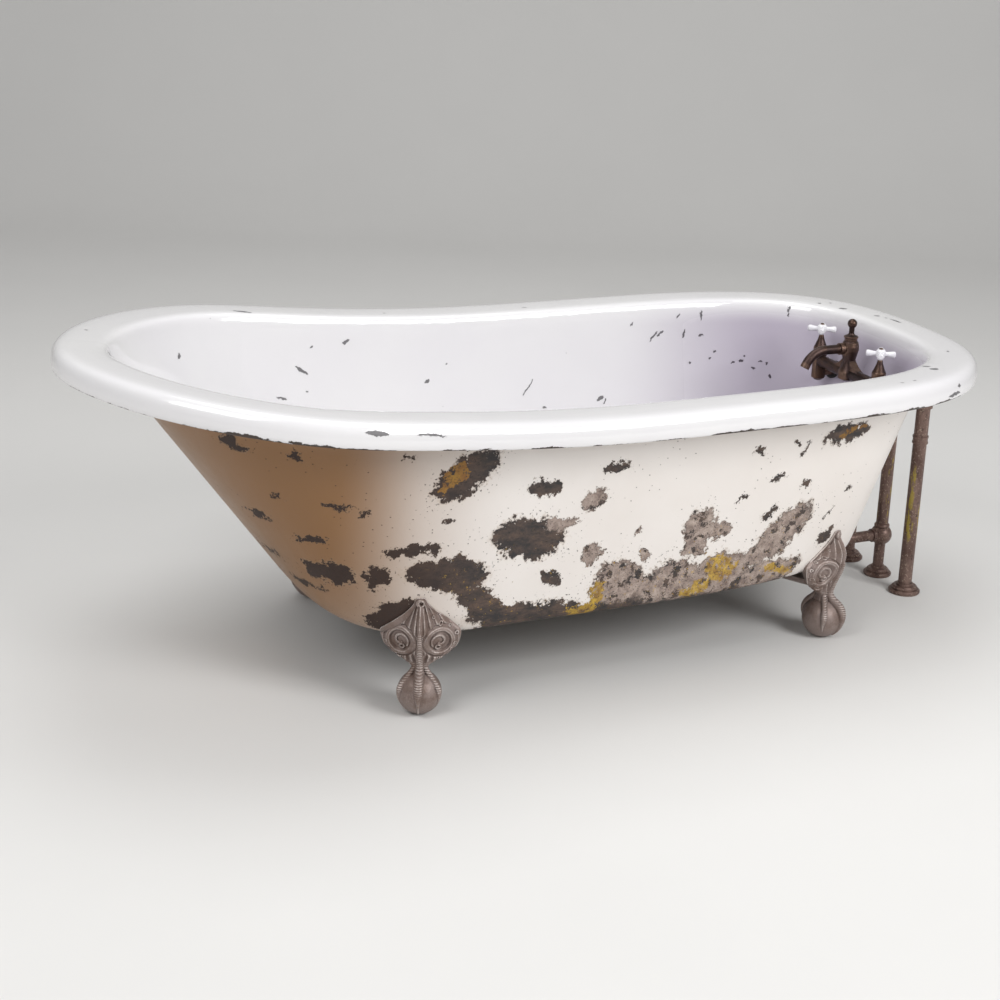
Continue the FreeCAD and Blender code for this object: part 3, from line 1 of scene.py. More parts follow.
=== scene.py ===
"""Clawfoot bathtub in its worn finish: chipped paint and enamel, carved feet, aged tap and pipes.

Metres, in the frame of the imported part: +X to the tap end, -Y to the near side, z = 0 on the floor.
"""

import json
import math

import bpy
from mathutils import Matrix, Vector, noise


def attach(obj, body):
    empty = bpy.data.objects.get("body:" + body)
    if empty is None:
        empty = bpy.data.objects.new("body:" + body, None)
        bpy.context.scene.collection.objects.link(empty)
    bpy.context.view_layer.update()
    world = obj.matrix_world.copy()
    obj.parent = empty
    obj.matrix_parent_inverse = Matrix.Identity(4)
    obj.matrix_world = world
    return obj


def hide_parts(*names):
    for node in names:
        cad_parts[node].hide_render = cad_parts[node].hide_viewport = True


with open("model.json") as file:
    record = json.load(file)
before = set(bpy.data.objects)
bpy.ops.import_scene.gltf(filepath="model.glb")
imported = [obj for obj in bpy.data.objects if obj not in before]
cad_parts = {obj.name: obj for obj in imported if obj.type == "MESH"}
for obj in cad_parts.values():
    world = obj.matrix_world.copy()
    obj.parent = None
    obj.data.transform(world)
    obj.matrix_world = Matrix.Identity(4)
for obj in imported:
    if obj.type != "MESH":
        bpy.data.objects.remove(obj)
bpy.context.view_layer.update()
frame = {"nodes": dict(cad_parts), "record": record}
nodes = frame["nodes"]

# ---- camera ----------------------------------------------------------------------------
CAMERA_PLACE = Vector((-1.4550, -3.0163, 1.4178))
CAMERA_HEADING = 24.929  # degrees from +Y towards +X
CAMERA_DIP = 19.244  # degrees below the horizon
CAMERA_ROLL = 1.950
CAMERA_LENS = 69.65
SENSOR = 36.0

# ---- places on the tub -----------------------------------------------------------------
RIM_TOP = 0.522
RISE_START = 0.110
RISE_RUN = 0.440
RISE_SLOPE = 0.107
LIP_DROP = 0.0425
BASIN_HEART_HEIGHT = 0.47  # a line in the open basin at this height, from the head to the tail
BASIN_HEAD = -0.35
BASIN_TAIL = 0.50
FAR_SIDE_SHIFT = 0.12
TEAR = 0.060  # how far the edge of the paint is torn aside
FLAKE = 0.020  # how far its small flakes stand out
BARE_BELOW = 0.142  # the paint is gone from the underside of the basin
IRON_SHADE_SPAN = (-0.18, -0.40)  # from here to there along x the bare iron turns brown, a painted warm shade
PAINT_GREY_SHADE_SPAN = (-0.14, -0.44)  # and the paint turns grey, a painted shade
PAINT_WARM_SHADE_SPAN = (-0.32, -0.48)  # and turns tan, a painted warm shade
WARM_SHADE_SIDE = (0.22, -0.04)  # on the near side only, from here to there along y
ENAMEL_SHADE_SPAN = (0.30, 0.66)  # and the enamel inside turns lilac towards the tap, a painted shade
YELLOW_SPECKS_BELOW = (0.34, 0.22)
OCHRE_ABOVE = (0.33, 0.40)
SHADOW_UNDER_LIP = (0.085, 0.045)  # painted shadow below the rim
PIPE_PAINT_LOW = (0.09, 0.13)  # heights between which the pipes keep some old paint
PIPE_PAINT_HIGH = (0.29, 0.24)

# Worn places of the outside as (x, z, half length, half width, lean in degrees), in centimetres.
BARE_IRON = [
    (-61.9, 48.6, 1.8, 1.1, -23),
    (-53.4, 47.7, 0.9, 0.7, -43),
    (-54.9, 39.6, 1.1, 0.3, -45),
    (-55.8, 34.3, 1.1, 1.1, -25),
    (-46.7, 38.3, 1.9, 0.5, -13),
    (-42.4, 37.5, 0.8, 0.3, -2),
    (-49.3, 31.6, 1.8, 0.8, 6),
    (-45.8, 25.3, 3.4, 2.1, -19),
    (-39.7, 25.2, 2.0, 2.0, -23),
    (-51.6, 24.9, 1.1, 0.4, -54),
    (-47.5, 20.6, 0.9, 0.9, -29),
    (-45.8, 21.2, 0.7, 0.3, -62),
    (-36.0, 17.8, 4.4, 2.9, 20),
    (-26.0, 42.6, 6.4, 3.2, 32),
    (-36.0, 46.5, 1.1, 0.3, -16),
    (-28.4, 34.7, 0.9, 0.6, -7),
    (-34.3, 30.0, 5.2, 1.0, -2),
    (-28.0, 24.8, 7.4, 3.1, -10),
    (-11.6, 38.8, 3.1, 1.4, -2),
    (1.9, 41.0, 2.6, 1.1, -6),
    (-13.4, 29.8, 6.8, 3.7, -10),
    (-8.5, 21.4, 2.1, 1.2, -34),
    (34.1, 28.2, 1.9, 0.8, 23),
    (48.5, 41.9, 5.2, 1.7, 1),
    (39.5, 40.0, 1.6, 0.4, 64),
    (37.5, 41.6, 0.9, 0.4, -23),
    (30.2, 40.6, 1.3, 0.5, -7),
    (34.7, 35.0, 1.5, 0.6, 18),
    (41.4, 32.7, 1.0, 0.7, 42),
    (48.2, 26.0, 2.0, 0.2, 38),
    (27.7, 32.2, 1.0, 0.4, 12),
    (51.7, 29.8, 0.6, 0.6, -13),
    (48.7, 21.0, 2.4, 1.4, 27),
    (-21.5, 18.6, 6.0, 2.8, -40),
    (-11.0, 14.6, 13.0, 2.6, -6),
    (8.0, 14.0, 12.0, 3.2, 0),
    (30.0, 14.5, 12.0, 3.0, 4),
]
OLD_PRIMER = [
    (-2.0, 35.4, 2.2, 2.0, 14),
    (-7.7, 31.6, 3.0, 1.2, 3),
    (-1.4, 25.4, 2.1, 1.9, -8),
    (7.3, 28.1, 1.0, 0.7, 44),
    (9.0, 23.8, 0.9, 0.9, -8),
    (19.4, 27.4, 3.0, 3.7, -8),
    (23.5, 26.6, 2.6, 1.8, -8),
    (18.8, 23.6, 2.7, 1.5, 12),
    (37.6, 24.0, 7.2, 3.4, 37),
    (32.8, 20.1, 3.0, 2.1, 22),
    (4.5, 18.8, 5.4, 4.2, -5),
    (14.5, 17.4, 6.5, 4.0, 8),
    (25.0, 17.6, 6.5, 4.2, 10),
    (36.0, 16.0, 7.0, 2.6, 8),
]
OLD_YELLOW = [
    (-27.8, 42.4, 3.0, 1.8, 32),
    (-15.4, 21.9, 1.8, 2.2, -8),
    (10.4, 33.8, 3.6, 0.9, 56),
    (-1.0, 16.0, 4.2, 2.4, 50),
    (24.8, 19.2, 2.8, 3.0, 36),
    (38.7, 16.4, 3.7, 1.0, -12),
    (20.0, 15.4, 3.0, 1.4, 10),
    (49.5, 42.2, 3.0, 0.8, 8),
]

# Marks of the enamel, in the same way: on the far wall inside, on the near side of the lip and along its edge
# as (x, z, ...), and on top of the rim as (x, y, ...).
WALL_CHIPS = [
    (-32.7, 44.3, 1.5, 0.28, -34),
    (-23.9, 49.0, 0.8, 0.3, 23),
    (-30.7, 48.6, 0.45, 0.15, 45),
    (-31.9, 40.3, 0.22, 0.22, 0),
    (-36.8, 39.3, 1.0, 0.18, -17),
    (-7.7, 40.2, 0.6, 0.32, 10),
    (-3.7, 43.1, 0.2, 0.2, 0),
    (13.7, 37.2, 2.0, 0.16, 55),
    (-57.6, 50.5, 0.5, 0.4, 60),
    (29.5, 33.8, 0.9, 0.35, 30),
    (30.6, 33.2, 0.7, 0.2, 65),
    (17.3, 33.0, 0.4, 0.2, 0),
    (49.3, 39.8, 0.2, 0.2, 30),
    (53.4, 40.5, 0.2, 0.2, 0),
    (54.6, 41.9, 0.4, 0.2, 30),
    (58.0, 39.5, 0.4, 0.2, 20),
    (59.4, 40.0, 0.5, 0.3, 20),
    (60.2, 41.0, 0.2, 0.2, 0),
    (61.6, 38.6, 0.3, 0.2, 0),
    (62.8, 40.1, 0.4, 0.2, 10),
    (63.8, 39.7, 0.2, 0.3, 0),
    (64.2, 37.4, 0.2, 0.4, 0),
    (48.2, 45.6, 0.25, 0.9, -20),
    (51.6, 45.0, 0.5, 0.25, 0),
    (41.5, 45.4, 1.3, 0.22, 48),
    (43.0, 45.9, 0.9, 0.2, 40),
    (52.0, 49.0, 0.2, 1.1, -8),
    (47.0, 49.2, 0.7, 0.16, 60),
    (36.5, 48.0, 0.6, 0.14, 45),
]
LIP_CHIPS = [
    (-45.1, 54.4, 1.9, 0.4, -8),
    (-36.2, 53.3, 2.5, 0.16, -8),
    (66.4, 49.0, 2.0, 0.3, 4),
    (67.8, 50.2, 0.5, 0.3, 0),
]
EDGE_CHIPS = [
    (-64.0, 53.8, 2.6, 0.5, -6),
    (-57.0, 53.2, 1.0, 0.3, -6),
    (-30.5, 50.0, 1.6, 0.4, -4),
    (-16.0, 48.8, 4.6, 0.45, -3),
    (-7.0, 48.3, 1.6, 0.3, -2),
    (20.0, 47.9, 1.0, 0.25, 0),
    (43.0, 47.9, 3.4, 0.4, 0),
    (54.0, 47.9, 5.0, 0.5, 0),
    (64.0, 47.9, 3.0, 0.4, 0),
]
RIM_CHIPS = [
    (-43.2, 33.6, 1.7, 0.4, -11),
    (-76.1, 14.9, 0.35, 0.35, 0),
    (-14.9, 34.8, 0.25, 0.3, 0),
    (14.5, 34.2, 0.6, 0.25, -18),
    (76.2, 15.0, 0.8, 0.45, -56),
    (68.4, 22.8, 0.4, 0.2, -45),
    (74.1, 20.4, 0.4, 0.35, -20),
    (76.2, 19.5, 0.3, 0.3, 0),
    (79.1, 7.5, 0.6, 0.35, -59),
    (79.9, 5.5, 0.25, 0.3, 0),
    (80.5, 2.8, 1.8, 0.3, -87),
    (65.5, -27.5, 0.7, 0.4, -31),
    (65.9, -29.6, 0.95, 0.5, -21),
    (76.0, -19.9, 0.25, 0.3, 0),
    (57.8, -34.8, 0.4, 0.15, -14),
    (54.8, -35.3, 0.35, 0.15, 0),
]


def colour(red, green, blue):
    """Linear colour from one as a paint chart gives it, 0 to 255."""
    shares = (red / 255, green / 255, blue / 255)
    return tuple(s / 12.92 if s <= 0.04045 else ((s + 0.055) / 1.055) ** 2.4 for s in shares) + (1.0,)


PAINT_WHITE = colour(240, 235, 231)
PAINT_CREAM = colour(231, 224, 218)
# painted shade on the near side of the head end: first grey, then warm tan
PAINT_GREY_SHADE = colour(186, 169, 156)
PAINT_WARM_SHADE = colour(142, 103, 64)
# painted shadow under the rim
PAINT_LIP_SHADOW = colour(150, 122, 98)
PAINT_STAIN = colour(176, 152, 128)
ENAMEL_WHITE = colour(236, 235, 235)
ENAMEL_GREY = colour(228, 226, 229)
# painted shade of the enamel inside, towards the tap
ENAMEL_LILAC_SHADE = colour(172, 164, 178)
CHIP_GREY = colour(92, 90, 92)
# colour of chips within that painted shade
CHIP_IN_SHADE = colour(48, 38, 48)
LIP_RUST = colour(62, 50, 44)
IRON_BLACK = colour(48, 45, 46)
IRON_WARM = colour(104, 84, 72)
# painted warm shade on the bare iron towards the head end
IRON_WARM_SHADE = colour(52, 33, 24)
IRON_PIT = colour(38, 33, 32)
PRIMER_DARK = colour(116, 99, 92)
PRIMER_PALE = colour(190, 173, 162)
OCHRE_DARK = colour(132, 96, 44)
OCHRE_BRIGHT = colour(204, 168, 58)
OCHRE_BROWN = colour(138, 90, 36)
PIPE_BROWN = colour(86, 64, 58)
PIPE_PINK = colour(142, 118, 108)
PIPE_SPECK = colour(208, 188, 168)
PIPE_DARK = colour(54, 42, 38)
PIPE_YELLOW = colour(170, 150, 60)


# ---- shader maths ----------------------------------------------------------------------
class Signal:
    """A value on its way through a finish; arithmetic on it adds Math nodes."""

    def __init__(self, finish, socket):
        self.finish = finish
        self.socket = socket

    def maths(self, operation, *values):
        return self.finish.node("Math", {"operation": operation}, dict(enumerate(values)))

    def __add__(self, other):
        return self.maths("ADD", self, other)

    def __radd__(self, other):
        return self.maths("ADD", other, self)

    def __sub__(self, other):
        return self.maths("SUBTRACT", self, other)

    def __rsub__(self, other):
        return self.maths("SUBTRACT", other, self)

    def __mul__(self, other):
        return self.maths("MULTIPLY", self, other)

    def __rmul__(self, other):
        return self.maths("MULTIPLY", other, self)

    def __truediv__(self, other):
        return self.maths("DIVIDE", self, other)

    def __gt__(self, other):
        return self.maths("GREATER_THAN", self, other)

    def __lt__(self, other):
        return self.maths("LESS_THAN", self, other)

    def __abs__(self):
        return self.maths("ABSOLUTE", self)

    def at_least(self, other):
        return self.maths("MAXIMUM", self, other)

    def at_most(self, other):
        return self.maths("MINIMUM", self, other)

    def within(self, low=0.0, high=1.0):
        return self.at_least(low).at_most(high)

    def eased(self, start, end):
        """0 below start, 1 above end and smooth between; start may be the larger one."""
        if start > end:
            return 1 - self.eased(end, start)
        return self.finish.node(
            "MapRange",
            {"interpolation_type": "SMOOTHSTEP"},
            {"Value": self, "From Min": start, "From Max": end},
        )


class Finish:
    """A material whose nodes are being laid out."""

    def __init__(self, name, **constants):
        self.material = bpy.data.materials.new(name)
        self.material.use_nodes = True
        self.tree = self.material.node_tree
        self.surface = self.tree.nodes["Principled BSDF"]
        self.set(constants)
        self.place = self.node("TexCoord", output="Object")

    def node(self, kind, settings=None, inputs=None, output=0):
        made = self.tree.nodes.new("ShaderNode" + kind)
        for name, value in (settings or {}).items():
            setattr(made, name, value)
        for name, value in (inputs or {}).items():
            self.plug(made.inputs[name], value)
        return Signal(self, made.outputs[output])

    def plug(self, socket, value):
        if isinstance(value, Signal):
            self.tree.links.new(value.socket, socket)
        else:
            socket.default_value = value

    def set(self, values):
        for name, value in values.items():
            self.plug(self.surface.inputs[name.replace("_", " ")], value)

    def parts(self, vector=None):
        """The three numbers of a vector, the place on the object unless another is given."""
        source = vector or self.place
        return [self.node("SeparateXYZ", None, {0: source}, k) for k in range(3)]

    def mix(self, share, first, second):
        """Colour that goes from the first to the second with share."""
        inputs = {0: share, 6: first, 7: second}
        return self.node("Mix", {"data_type": "RGBA"}, inputs, 2)

    def grain(self, scale, detail=4.0, roughness=0.55, stretch=(1, 1, 1), shift=0.0):
        """Noise around 0, from about -0.5 to 0.5, with scale waves to the metre."""
        moved = self.node(
            "Mapping", None, {"Vector": self.place, "Location": (shift, shift, shift), "Scale": stretch}
        )
        inputs = {"Vector": moved, "Scale": scale, "Detail": detail, "Roughness": roughness}
        return self.node("TexNoise", None, inputs) - 0.5

    def flecks(self, scale, size, stretch=(1, 1, 1)):
        """1 in scattered specks and 0 elsewhere; size is their share of the cell."""
        moved = self.node("Mapping", None, {"Vector": self.place, "Scale": stretch})
        inputs = {"Vector": moved, "Scale": scale, "Randomness": 1.0}
        away = self.node("TexVoronoi", None, inputs, "Distance")
        return away.eased(size, size * 0.6)

    def relief(self, height, depth, strength=1.0):
        """Normal of a surface that rises by depth metres where height is 1."""
        inputs = {"Height": height, "Distance": depth, "Strength": strength}
        return self.node("Bump", None, inputs, "Normal")


# ---- basin -----------------------------------------------------------------------------
CENTIMETRE = 0.01
FAR_AWAY = 9.0
DEPTH_SPREAD = 5000.0


def nearness(finish, along, up, worn_places):
    """How far a point is from the nearest worn place: 0 in its middle, 1 at its edge.

    Each place takes in what was found so far as the depth of its plane, where it weighs next to nothing,
    so that the places are worked out one after the other.
    """
    nearest = FAR_AWAY
    for x, z, half_length, half_width, lean in worn_places:
        plane = finish.node("CombineXYZ", None, {0: along, 1: nearest, 2: up})
        inputs = {
            "Vector": plane,
            "Location": (x * CENTIMETRE, 0.0, z * CENTIMETRE),
            "Rotation": (0.0, math.radians(-lean), 0.0),
            "Scale": (half_length * CENTIMETRE, DEPTH_SPREAD, half_width * CENTIMETRE),
        }
        local = finish.node("Mapping", {"vector_type": "TEXTURE"}, inputs)
        away = finish.node("VectorMath", {"operation": "LENGTH"}, {0: local}, "Value")
        nearest = away.at_most(nearest)
    return nearest


def rim_drop(x, z):
    """How far a point lies below the top of the rim above it."""
    before = (RISE_START - x).at_least(0.0)
    bent = before.at_most(RISE_RUN)
    rise = (bent * bent / (2 * RISE_RUN) + (before - bent)) * RISE_SLOPE
    return RIM_TOP + rise - z


def basin_finish():
    """Enamel inside and on the rim; outside, old paint that has flaked off down to primer and iron."""
    finish = Finish("basin_enamel_and_paint")
    x, y, z = finish.parts()
    drop = rim_drop(x, z)
    middle = finish.node("CombineXYZ", None, {0: x.within(BASIN_HEAD, BASIN_TAIL), 2: BASIN_HEART_HEIGHT})
    inward = finish.node("VectorMath", {"operation": "SUBTRACT"}, {0: middle, 1: finish.place})
    facing = finish.node("NewGeometry", output="Normal")
    towards = finish.node("VectorMath", {"operation": "DOT_PRODUCT"}, {0: inward, 1: facing}, "Value")
    inside = towards > 0.0
    enamelled = inside.at_least(drop < LIP_DROP)

    tear = {"Vector": finish.place, "Scale": 34.0, "Detail": 8.0, "Roughness": 0.72}
    torn = finish.parts(finish.node("TexNoise", None, tear, "Color"))
    flake = {"Vector": finish.place, "Scale": 150.0, "Detail": 3.0, "Roughness": 0.7}
    flaked = finish.parts(finish.node("TexNoise", None, flake, "Color"))
    across = (torn[0] - 0.5) * TEAR + (flaked[0] - 0.5) * FLAKE
    upward = (torn[2] - 0.5) * TEAR + (flaked[2] - 0.5) * FLAKE
    ragged = torn[1] - 0.5
    far_side = y > 0.0
    along = x + far_side * (FAR_SIDE_SHIFT - 2 * x)
    iron = nearness(finish, along + across, z + upward, BARE_IRON) + ragged * 0.5
    primer = nearness(finish, along - upward, z + across, OLD_PRIMER) + ragged * 0.5
    yellow = nearness(finish, along + across, z - upward, OLD_YELLOW) + ragged * 2.6
    underside = (z + ragged * 0.05 + flaked[1] * 0.01).eased(BARE_BELOW, BARE_BELOW - 0.0005)
    nearest = iron.at_most(primer)
    crumbs = (finish.grain(210, 3, 0.6, shift=8.0) - nearest * 0.10).eased(0.035, 0.045)
    left_over = (finish.grain(130, 4, 0.7, shift=14.0) + nearest * 0.32).eased(0.42, 0.43)
    specks = finish.flecks(80, 0.11, (1.0, 1.0, 1.5)) * (finish.grain(7, 2, shift=3.0) > 0.03)
    flaked_off = nearest.eased(1.01, 0.99) * (1 - left_over)
    bare = flaked_off.at_least(underside).at_least(specks).at_least(crumbs)

    cloud = (finish.grain(26, 9, 0.75, (1.0, 1.0, 2.2), shift=7.0) * 3.6 + 0.35).within()
    # painted warm shade: the bare iron turns browner towards the head end
    head_shade_share = x.eased(*IRON_SHADE_SPAN)
    iron_and_warm_shade = finish.mix(head_shade_share, finish.mix(cloud, IRON_BLACK, IRON_WARM), IRON_WARM_SHADE)
    pale = finish.grain(60, 7, 0.75, shift=5.0)
    primer_tone = finish.mix((pale * 3.0 + 0.5).within(), PRIMER_DARK, PRIMER_PALE)
    mottled = primer.eased(1.15, 0.8) * (finish.grain(48, 8, 0.75, shift=11.0) > -0.05)
    metal = finish.mix(mottled, iron_and_warm_shade, primer_tone)
    yellow_specks = finish.grain(150, 4, 0.75, shift=2.0) > 0.14
    yellow_specks = yellow_specks * z.eased(*YELLOW_SPECKS_BELOW) * (1 - head_shade_share)
    holes = finish.grain(90, 5, 0.75, shift=17.0) > -0.06
    yellow_cover = (yellow.eased(1.0, 0.98) * holes).at_least(yellow_specks)
    ochre = finish.mix((pale * 4.0 + 0.5).within(), OCHRE_DARK, OCHRE_BRIGHT)
    ochre = finish.mix(z.eased(*OCHRE_ABOVE) * 0.7, ochre, OCHRE_BROWN)
    metal = finish.mix(yellow_cover * 0.9, metal, ochre)
    pits = (finish.grain(320, 3, 0.6, shift=12.0) > 0.12) * 0.7
    metal = finish.mix(pits, metal, IRON_PIT)

    clean = finish.mix((finish.grain(5, 4, shift=1.0) * 1.6 + 0.5).within(), PAINT_WHITE, PAINT_CREAM)
    # painted shade on the near side of the head end: the paint turns grey, then warm tan
    near_half = y.eased(*WARM_SHADE_SIDE)
    paint = finish.mix(x.eased(*PAINT_GREY_SHADE_SPAN) * near_half, clean, PAINT_GREY_SHADE)
    paint = finish.mix(x.eased(*PAINT_WARM_SHADE_SPAN) * near_half, paint, PAINT_WARM_SHADE)
    # painted shadow under the rim: the paint darkens just below the lip
    lip_shadow = drop.eased(*SHADOW_UNDER_LIP) * 0.5
    paint = finish.mix(lip_shadow, paint, PAINT_LIP_SHADOW)
    stain = nearest.eased(1.16, 1.0) * 0.35
    paint = finish.mix(stain, paint, PAINT_STAIN)
    outside = finish.mix(bare, paint, metal)

    white = finish.mix((finish.grain(3, 3, shift=4.0) * 1.5 + 0.5).within(), ENAMEL_WHITE, ENAMEL_GREY)
    # painted shade inside towards the tap end: lilac enamel, darker chips, less coat and more roughness
    tap_end_shade = inside * x.eased(*ENAMEL_SHADE_SPAN) * drop.eased(0.0, 0.05)
    white = finish.mix(tap_end_shade, white, ENAMEL_LILAC_SHADE)
    near_lip = (1 - inside) * (1 - far_side)
    chipped_x = x + across * 0.3
    chipped_y = y + upward * 0.3
    chipped_z = z + upward * 0.3
    far_wall = inside * far_side
    wall_marks = nearness(finish, chipped_x, chipped_z, WALL_CHIPS) + (1 - far_wall) * FAR_AWAY
    lip_marks = nearness(finish, chipped_x, chipped_z, LIP_CHIPS) + (1 - near_lip) * FAR_AWAY
    edge_marks = nearness(finish, chipped_x, chipped_z, EDGE_CHIPS) + (1 - near_lip) * FAR_AWAY
    top_marks = nearness(finish, chipped_x, chipped_y, RIM_CHIPS) + (drop > LIP_DROP) * FAR_AWAY
    pinholes = finish.flecks(24, 0.03, (1.0, 1.0, 2.0)) * (finish.grain(3, 2, shift=6.0) > 0.02)
    marks = wall_marks.at_most(lip_marks).at_most(top_marks)
    chips = marks.eased(1.02, 0.92).at_least(pinholes)
    # chips are darker within the painted shade
    chip_tone = finish.mix(tap_end_shade, CHIP_GREY, CHIP_IN_SHADE)
    enamel = finish.mix(chips * 0.9, white, chip_tone)
    skin = finish.mix(enamelled, outside, enamel)
    lip_wear = finish.grain(24, 8, 0.75, (1.0, 1.0, 2.0), shift=9.0) + finish.grain(5, 2, shift=15.0) * 0.4
    lip = (abs(drop - LIP_DROP) - lip_wear * 0.024).eased(0.0020, 0.0012) * (1 - inside)
    lip = lip.at_least(edge_marks.eased(1.02, 0.95))
    skin = finish.mix(lip, skin, LIP_RUST)

    painted = 1 - enamelled
    worn = (painted * bare + enamelled * chips).at_least(lip)
    gloss = painted * (0.36 + bare * 0.26 + ragged * 0.2) + enamelled * (0.10 + chips * 0.4 + tap_end_shade * 0.35)
    height = (1 - worn) + ragged * 0.15 + worn * pits * -0.4
    finish.set({"Base Color": skin, "Roughness": gloss, "Normal": finish.relief(height, 0.0012)})
    finish.set({"Coat Weight": enamelled * (1 - worn) * (1 - tap_end_shade), "Coat Roughness": 0.04})
    return finish.material


EDGE_SPREAD = 0.06  # how far from 0.5 the pointiness is of a full hollow or a full edge


def metal_finish(name, hollow, body, crest_highlight, bloom, stain, metallic=0.6, roughness=0.36, scale=60):
    """Aged metal: painted shade in the hollows, a painted highlight on the edges, clouds of stain, a bloom of
    dirt and a cast grain.
    """
    finish = Finish(name)
    clouds = finish.grain(scale, 6, 0.7)
    raised = finish.node("NewGeometry", output="Pointiness") + clouds * 0.03
    # painted shade in the hollows and a painted highlight on the edges, found by pointiness
    tone = finish.mix(raised.eased(0.5 - EDGE_SPREAD, 0.5), hollow, body)
    tone = finish.mix(raised.eased(0.5, 0.5 + EDGE_SPREAD), tone, crest_highlight)
    shade = (clouds * 2.4 + 0.3).within(0.0, 0.7)
    tone = finish.mix(shade, tone, body)
    stained = (finish.grain(scale * 0.4, 6, 0.7, shift=13.0) * 3.6 + 0.15).within(0.0, 0.6)
    tone = finish.mix(stained, tone, stain)
    dusty = (finish.grain(scale * 3.5, 6, 0.75, shift=5.0) > 0.17) * 0.55
    tone = finish.mix(dusty, tone, bloom)
    grain = finish.grain(scale * 12, 4, 0.6)
    finish.set({"Base Color": tone, "Metallic": metallic - dusty * 0.4})
    finish.set({"Roughness": roughness + shade * 0.15 + dusty * 0.25})
    finish.set({"Normal": finish.relief(grain + clouds, 0.0004)})
    return finish.material


def pipe_finish():
    """Pipes: brown and pinkish in clouds, pale specks, and runs of old yellow paint half way down."""
    finish = Finish("aged_pipe")
    _, _, z = finish.parts()
    clouds = (finish.grain(34, 7, 0.7, (1.0, 1.0, 0.4)) * 2.8 + 0.45).within()
    tone = finish.mix(clouds, PIPE_BROWN, PIPE_PINK)
    pale = (finish.grain(240, 4, 0.7, shift=4.0) > 0.11) * 0.55
    tone = finish.mix(pale, tone, PIPE_SPECK)
    dark = (finish.grain(120, 6, 0.7, shift=9.0) > 0.12) * 0.7
    tone = finish.mix(dark, tone, PIPE_DARK)
    runs = finish.grain(60, 6, 0.75, (1.0, 1.0, 0.16), shift=3.0)
    middle = z.eased(*PIPE_PAINT_LOW) * z.eased(*PIPE_PAINT_HIGH)
    old_paint = (runs + middle * 0.03).eased(0.08, 0.10) * middle
    tone = finish.mix(old_paint * 0.8, tone, PIPE_YELLOW)
    finish.set({"Base Color": tone, "Metallic": 0.45 - old_paint * 0.4})
    finish.set({"Roughness": 0.34 + clouds * 0.14 + old_paint * 0.25})
    finish.set({"Normal": finish.relief(pale - dark + old_paint * 0.8 + runs, 0.0003)})
    return finish.material


def porcelain_finish():
    finish = Finish("white_porcelain", Roughness=0.12)
    shade = (finish.grain(90, 3) * 2 + 0.5).within()
    finish.set({"Base Color": finish.mix(shade, colour(236, 235, 238), colour(222, 220, 226))})
    finish.set({"Normal": finish.relief(finish.grain(300, 2), 0.0001)})
    return finish.material


def rubber_finish():
    finish = Finish("black_rubber", Roughness=0.6)
    shade = (finish.grain(120, 4) * 2 + 0.5).within()
    finish.set({"Base Color": finish.mix(shade, colour(24, 23, 23), colour(48, 46, 45))})
    return finish.material


FINISHES = {
    "enamelled_iron": basin_finish(),
    "foot_iron": metal_finish(
        "foot_iron",
        hollow=colour(34, 26, 24),
        body=colour(140, 124, 118),
        crest_highlight=colour(230, 220, 214),
        bloom=colour(160, 140, 104),
        stain=colour(104, 80, 66),
        metallic=0.3,
    ),
    "dark_brass": metal_finish(
        "dark_brass",
        hollow=colour(30, 23, 24),
        body=colour(68, 53, 50),
        crest_highlight=colour(122, 98, 84),
        bloom=colour(150, 124, 96),
        stain=colour(92, 68, 50),
        metallic=0.8,
        roughness=0.3,
    ),
    "aged_brass_pipe": pipe_finish(),
    "steel": metal_finish(
        "dull_steel",
        hollow=colour(50, 44, 42),
        body=colour(104, 98, 94),
        crest_highlight=colour(150, 144, 140),
        bloom=colour(120, 78, 52),
        stain=colour(96, 66, 48),
    ),
    "porcelain": porcelain_finish(),
    "rubber": rubber_finish(),
}
SLOT_OF = {row["node"]: row["material_slot"] for row in frame["record"]["subparts"]}
for node_name, node in nodes.items():
    for material_slot in node.material_slots:
        material_slot.material = FINISHES[SLOT_OF[node_name]]


# ---- feet ------------------------------------------------------------------------------
MM = 0.001
BALL_RADIUS = 38.0
BALL_HEIGHT = 37.0
BOSS_PLACE = (8.0, 203.0)  # screw boss at the leaf's tip: x and height
BOSS_RADIUS = 7.5
BOSS_LENGTH = 13.0
FOOT_VOXEL = 1.0
WALL_SEAT = 0.3  # gap between the basin's wall and the back of the leaf
PLATE_EDGE = 4.0  # least thickness of the leaf at the wall
SEATED_ABOVE = 118.0  # height from which the leaf is bedded on the wall
FOOT_STANDS = {
    "head": (-318.0, 274.0, -25.0),  # x and distance from the middle in mm, turn of the foot in degrees
    "tap": (514.0, 229.0, 30.0),
}
# Level sections of the foot in mm: height, crease, side edge, back, half width, roundness.
FOOT_SECTIONS = [
    (56, 20, -2, -24, 25, 1.0),
    (68, 14, -2, -20, 18, 1.0),
    (78, 11, -2, -17, 14.5, 1.0),
    (85, 11, -3, -17, 15.5, 0.9),
    (92, 12, -4, -19, 25, 0.6),
    (101, 14, -5, -22, 40, 0.35),
    (110, 18, -7, -26, 52, 0.2),
    (120, 23, -8, -31, 61, 0.15),
    (132, 28, -8, -38, 66, 0.12),
    (145, 32, -8, -48, 68, 0.1),
    (152, 34, -8, -52, 66, 0.1),
    (160, 36, -8, -52, 57, 0.1),
    (172, 37, -7, -52, 42, 0.1),
    (185, 32, -4, -49, 26, 0.12),
    (198, 24, 0, -44, 14, 0.2),
    (211, 15, 4, -38, 7, 0.6),
]
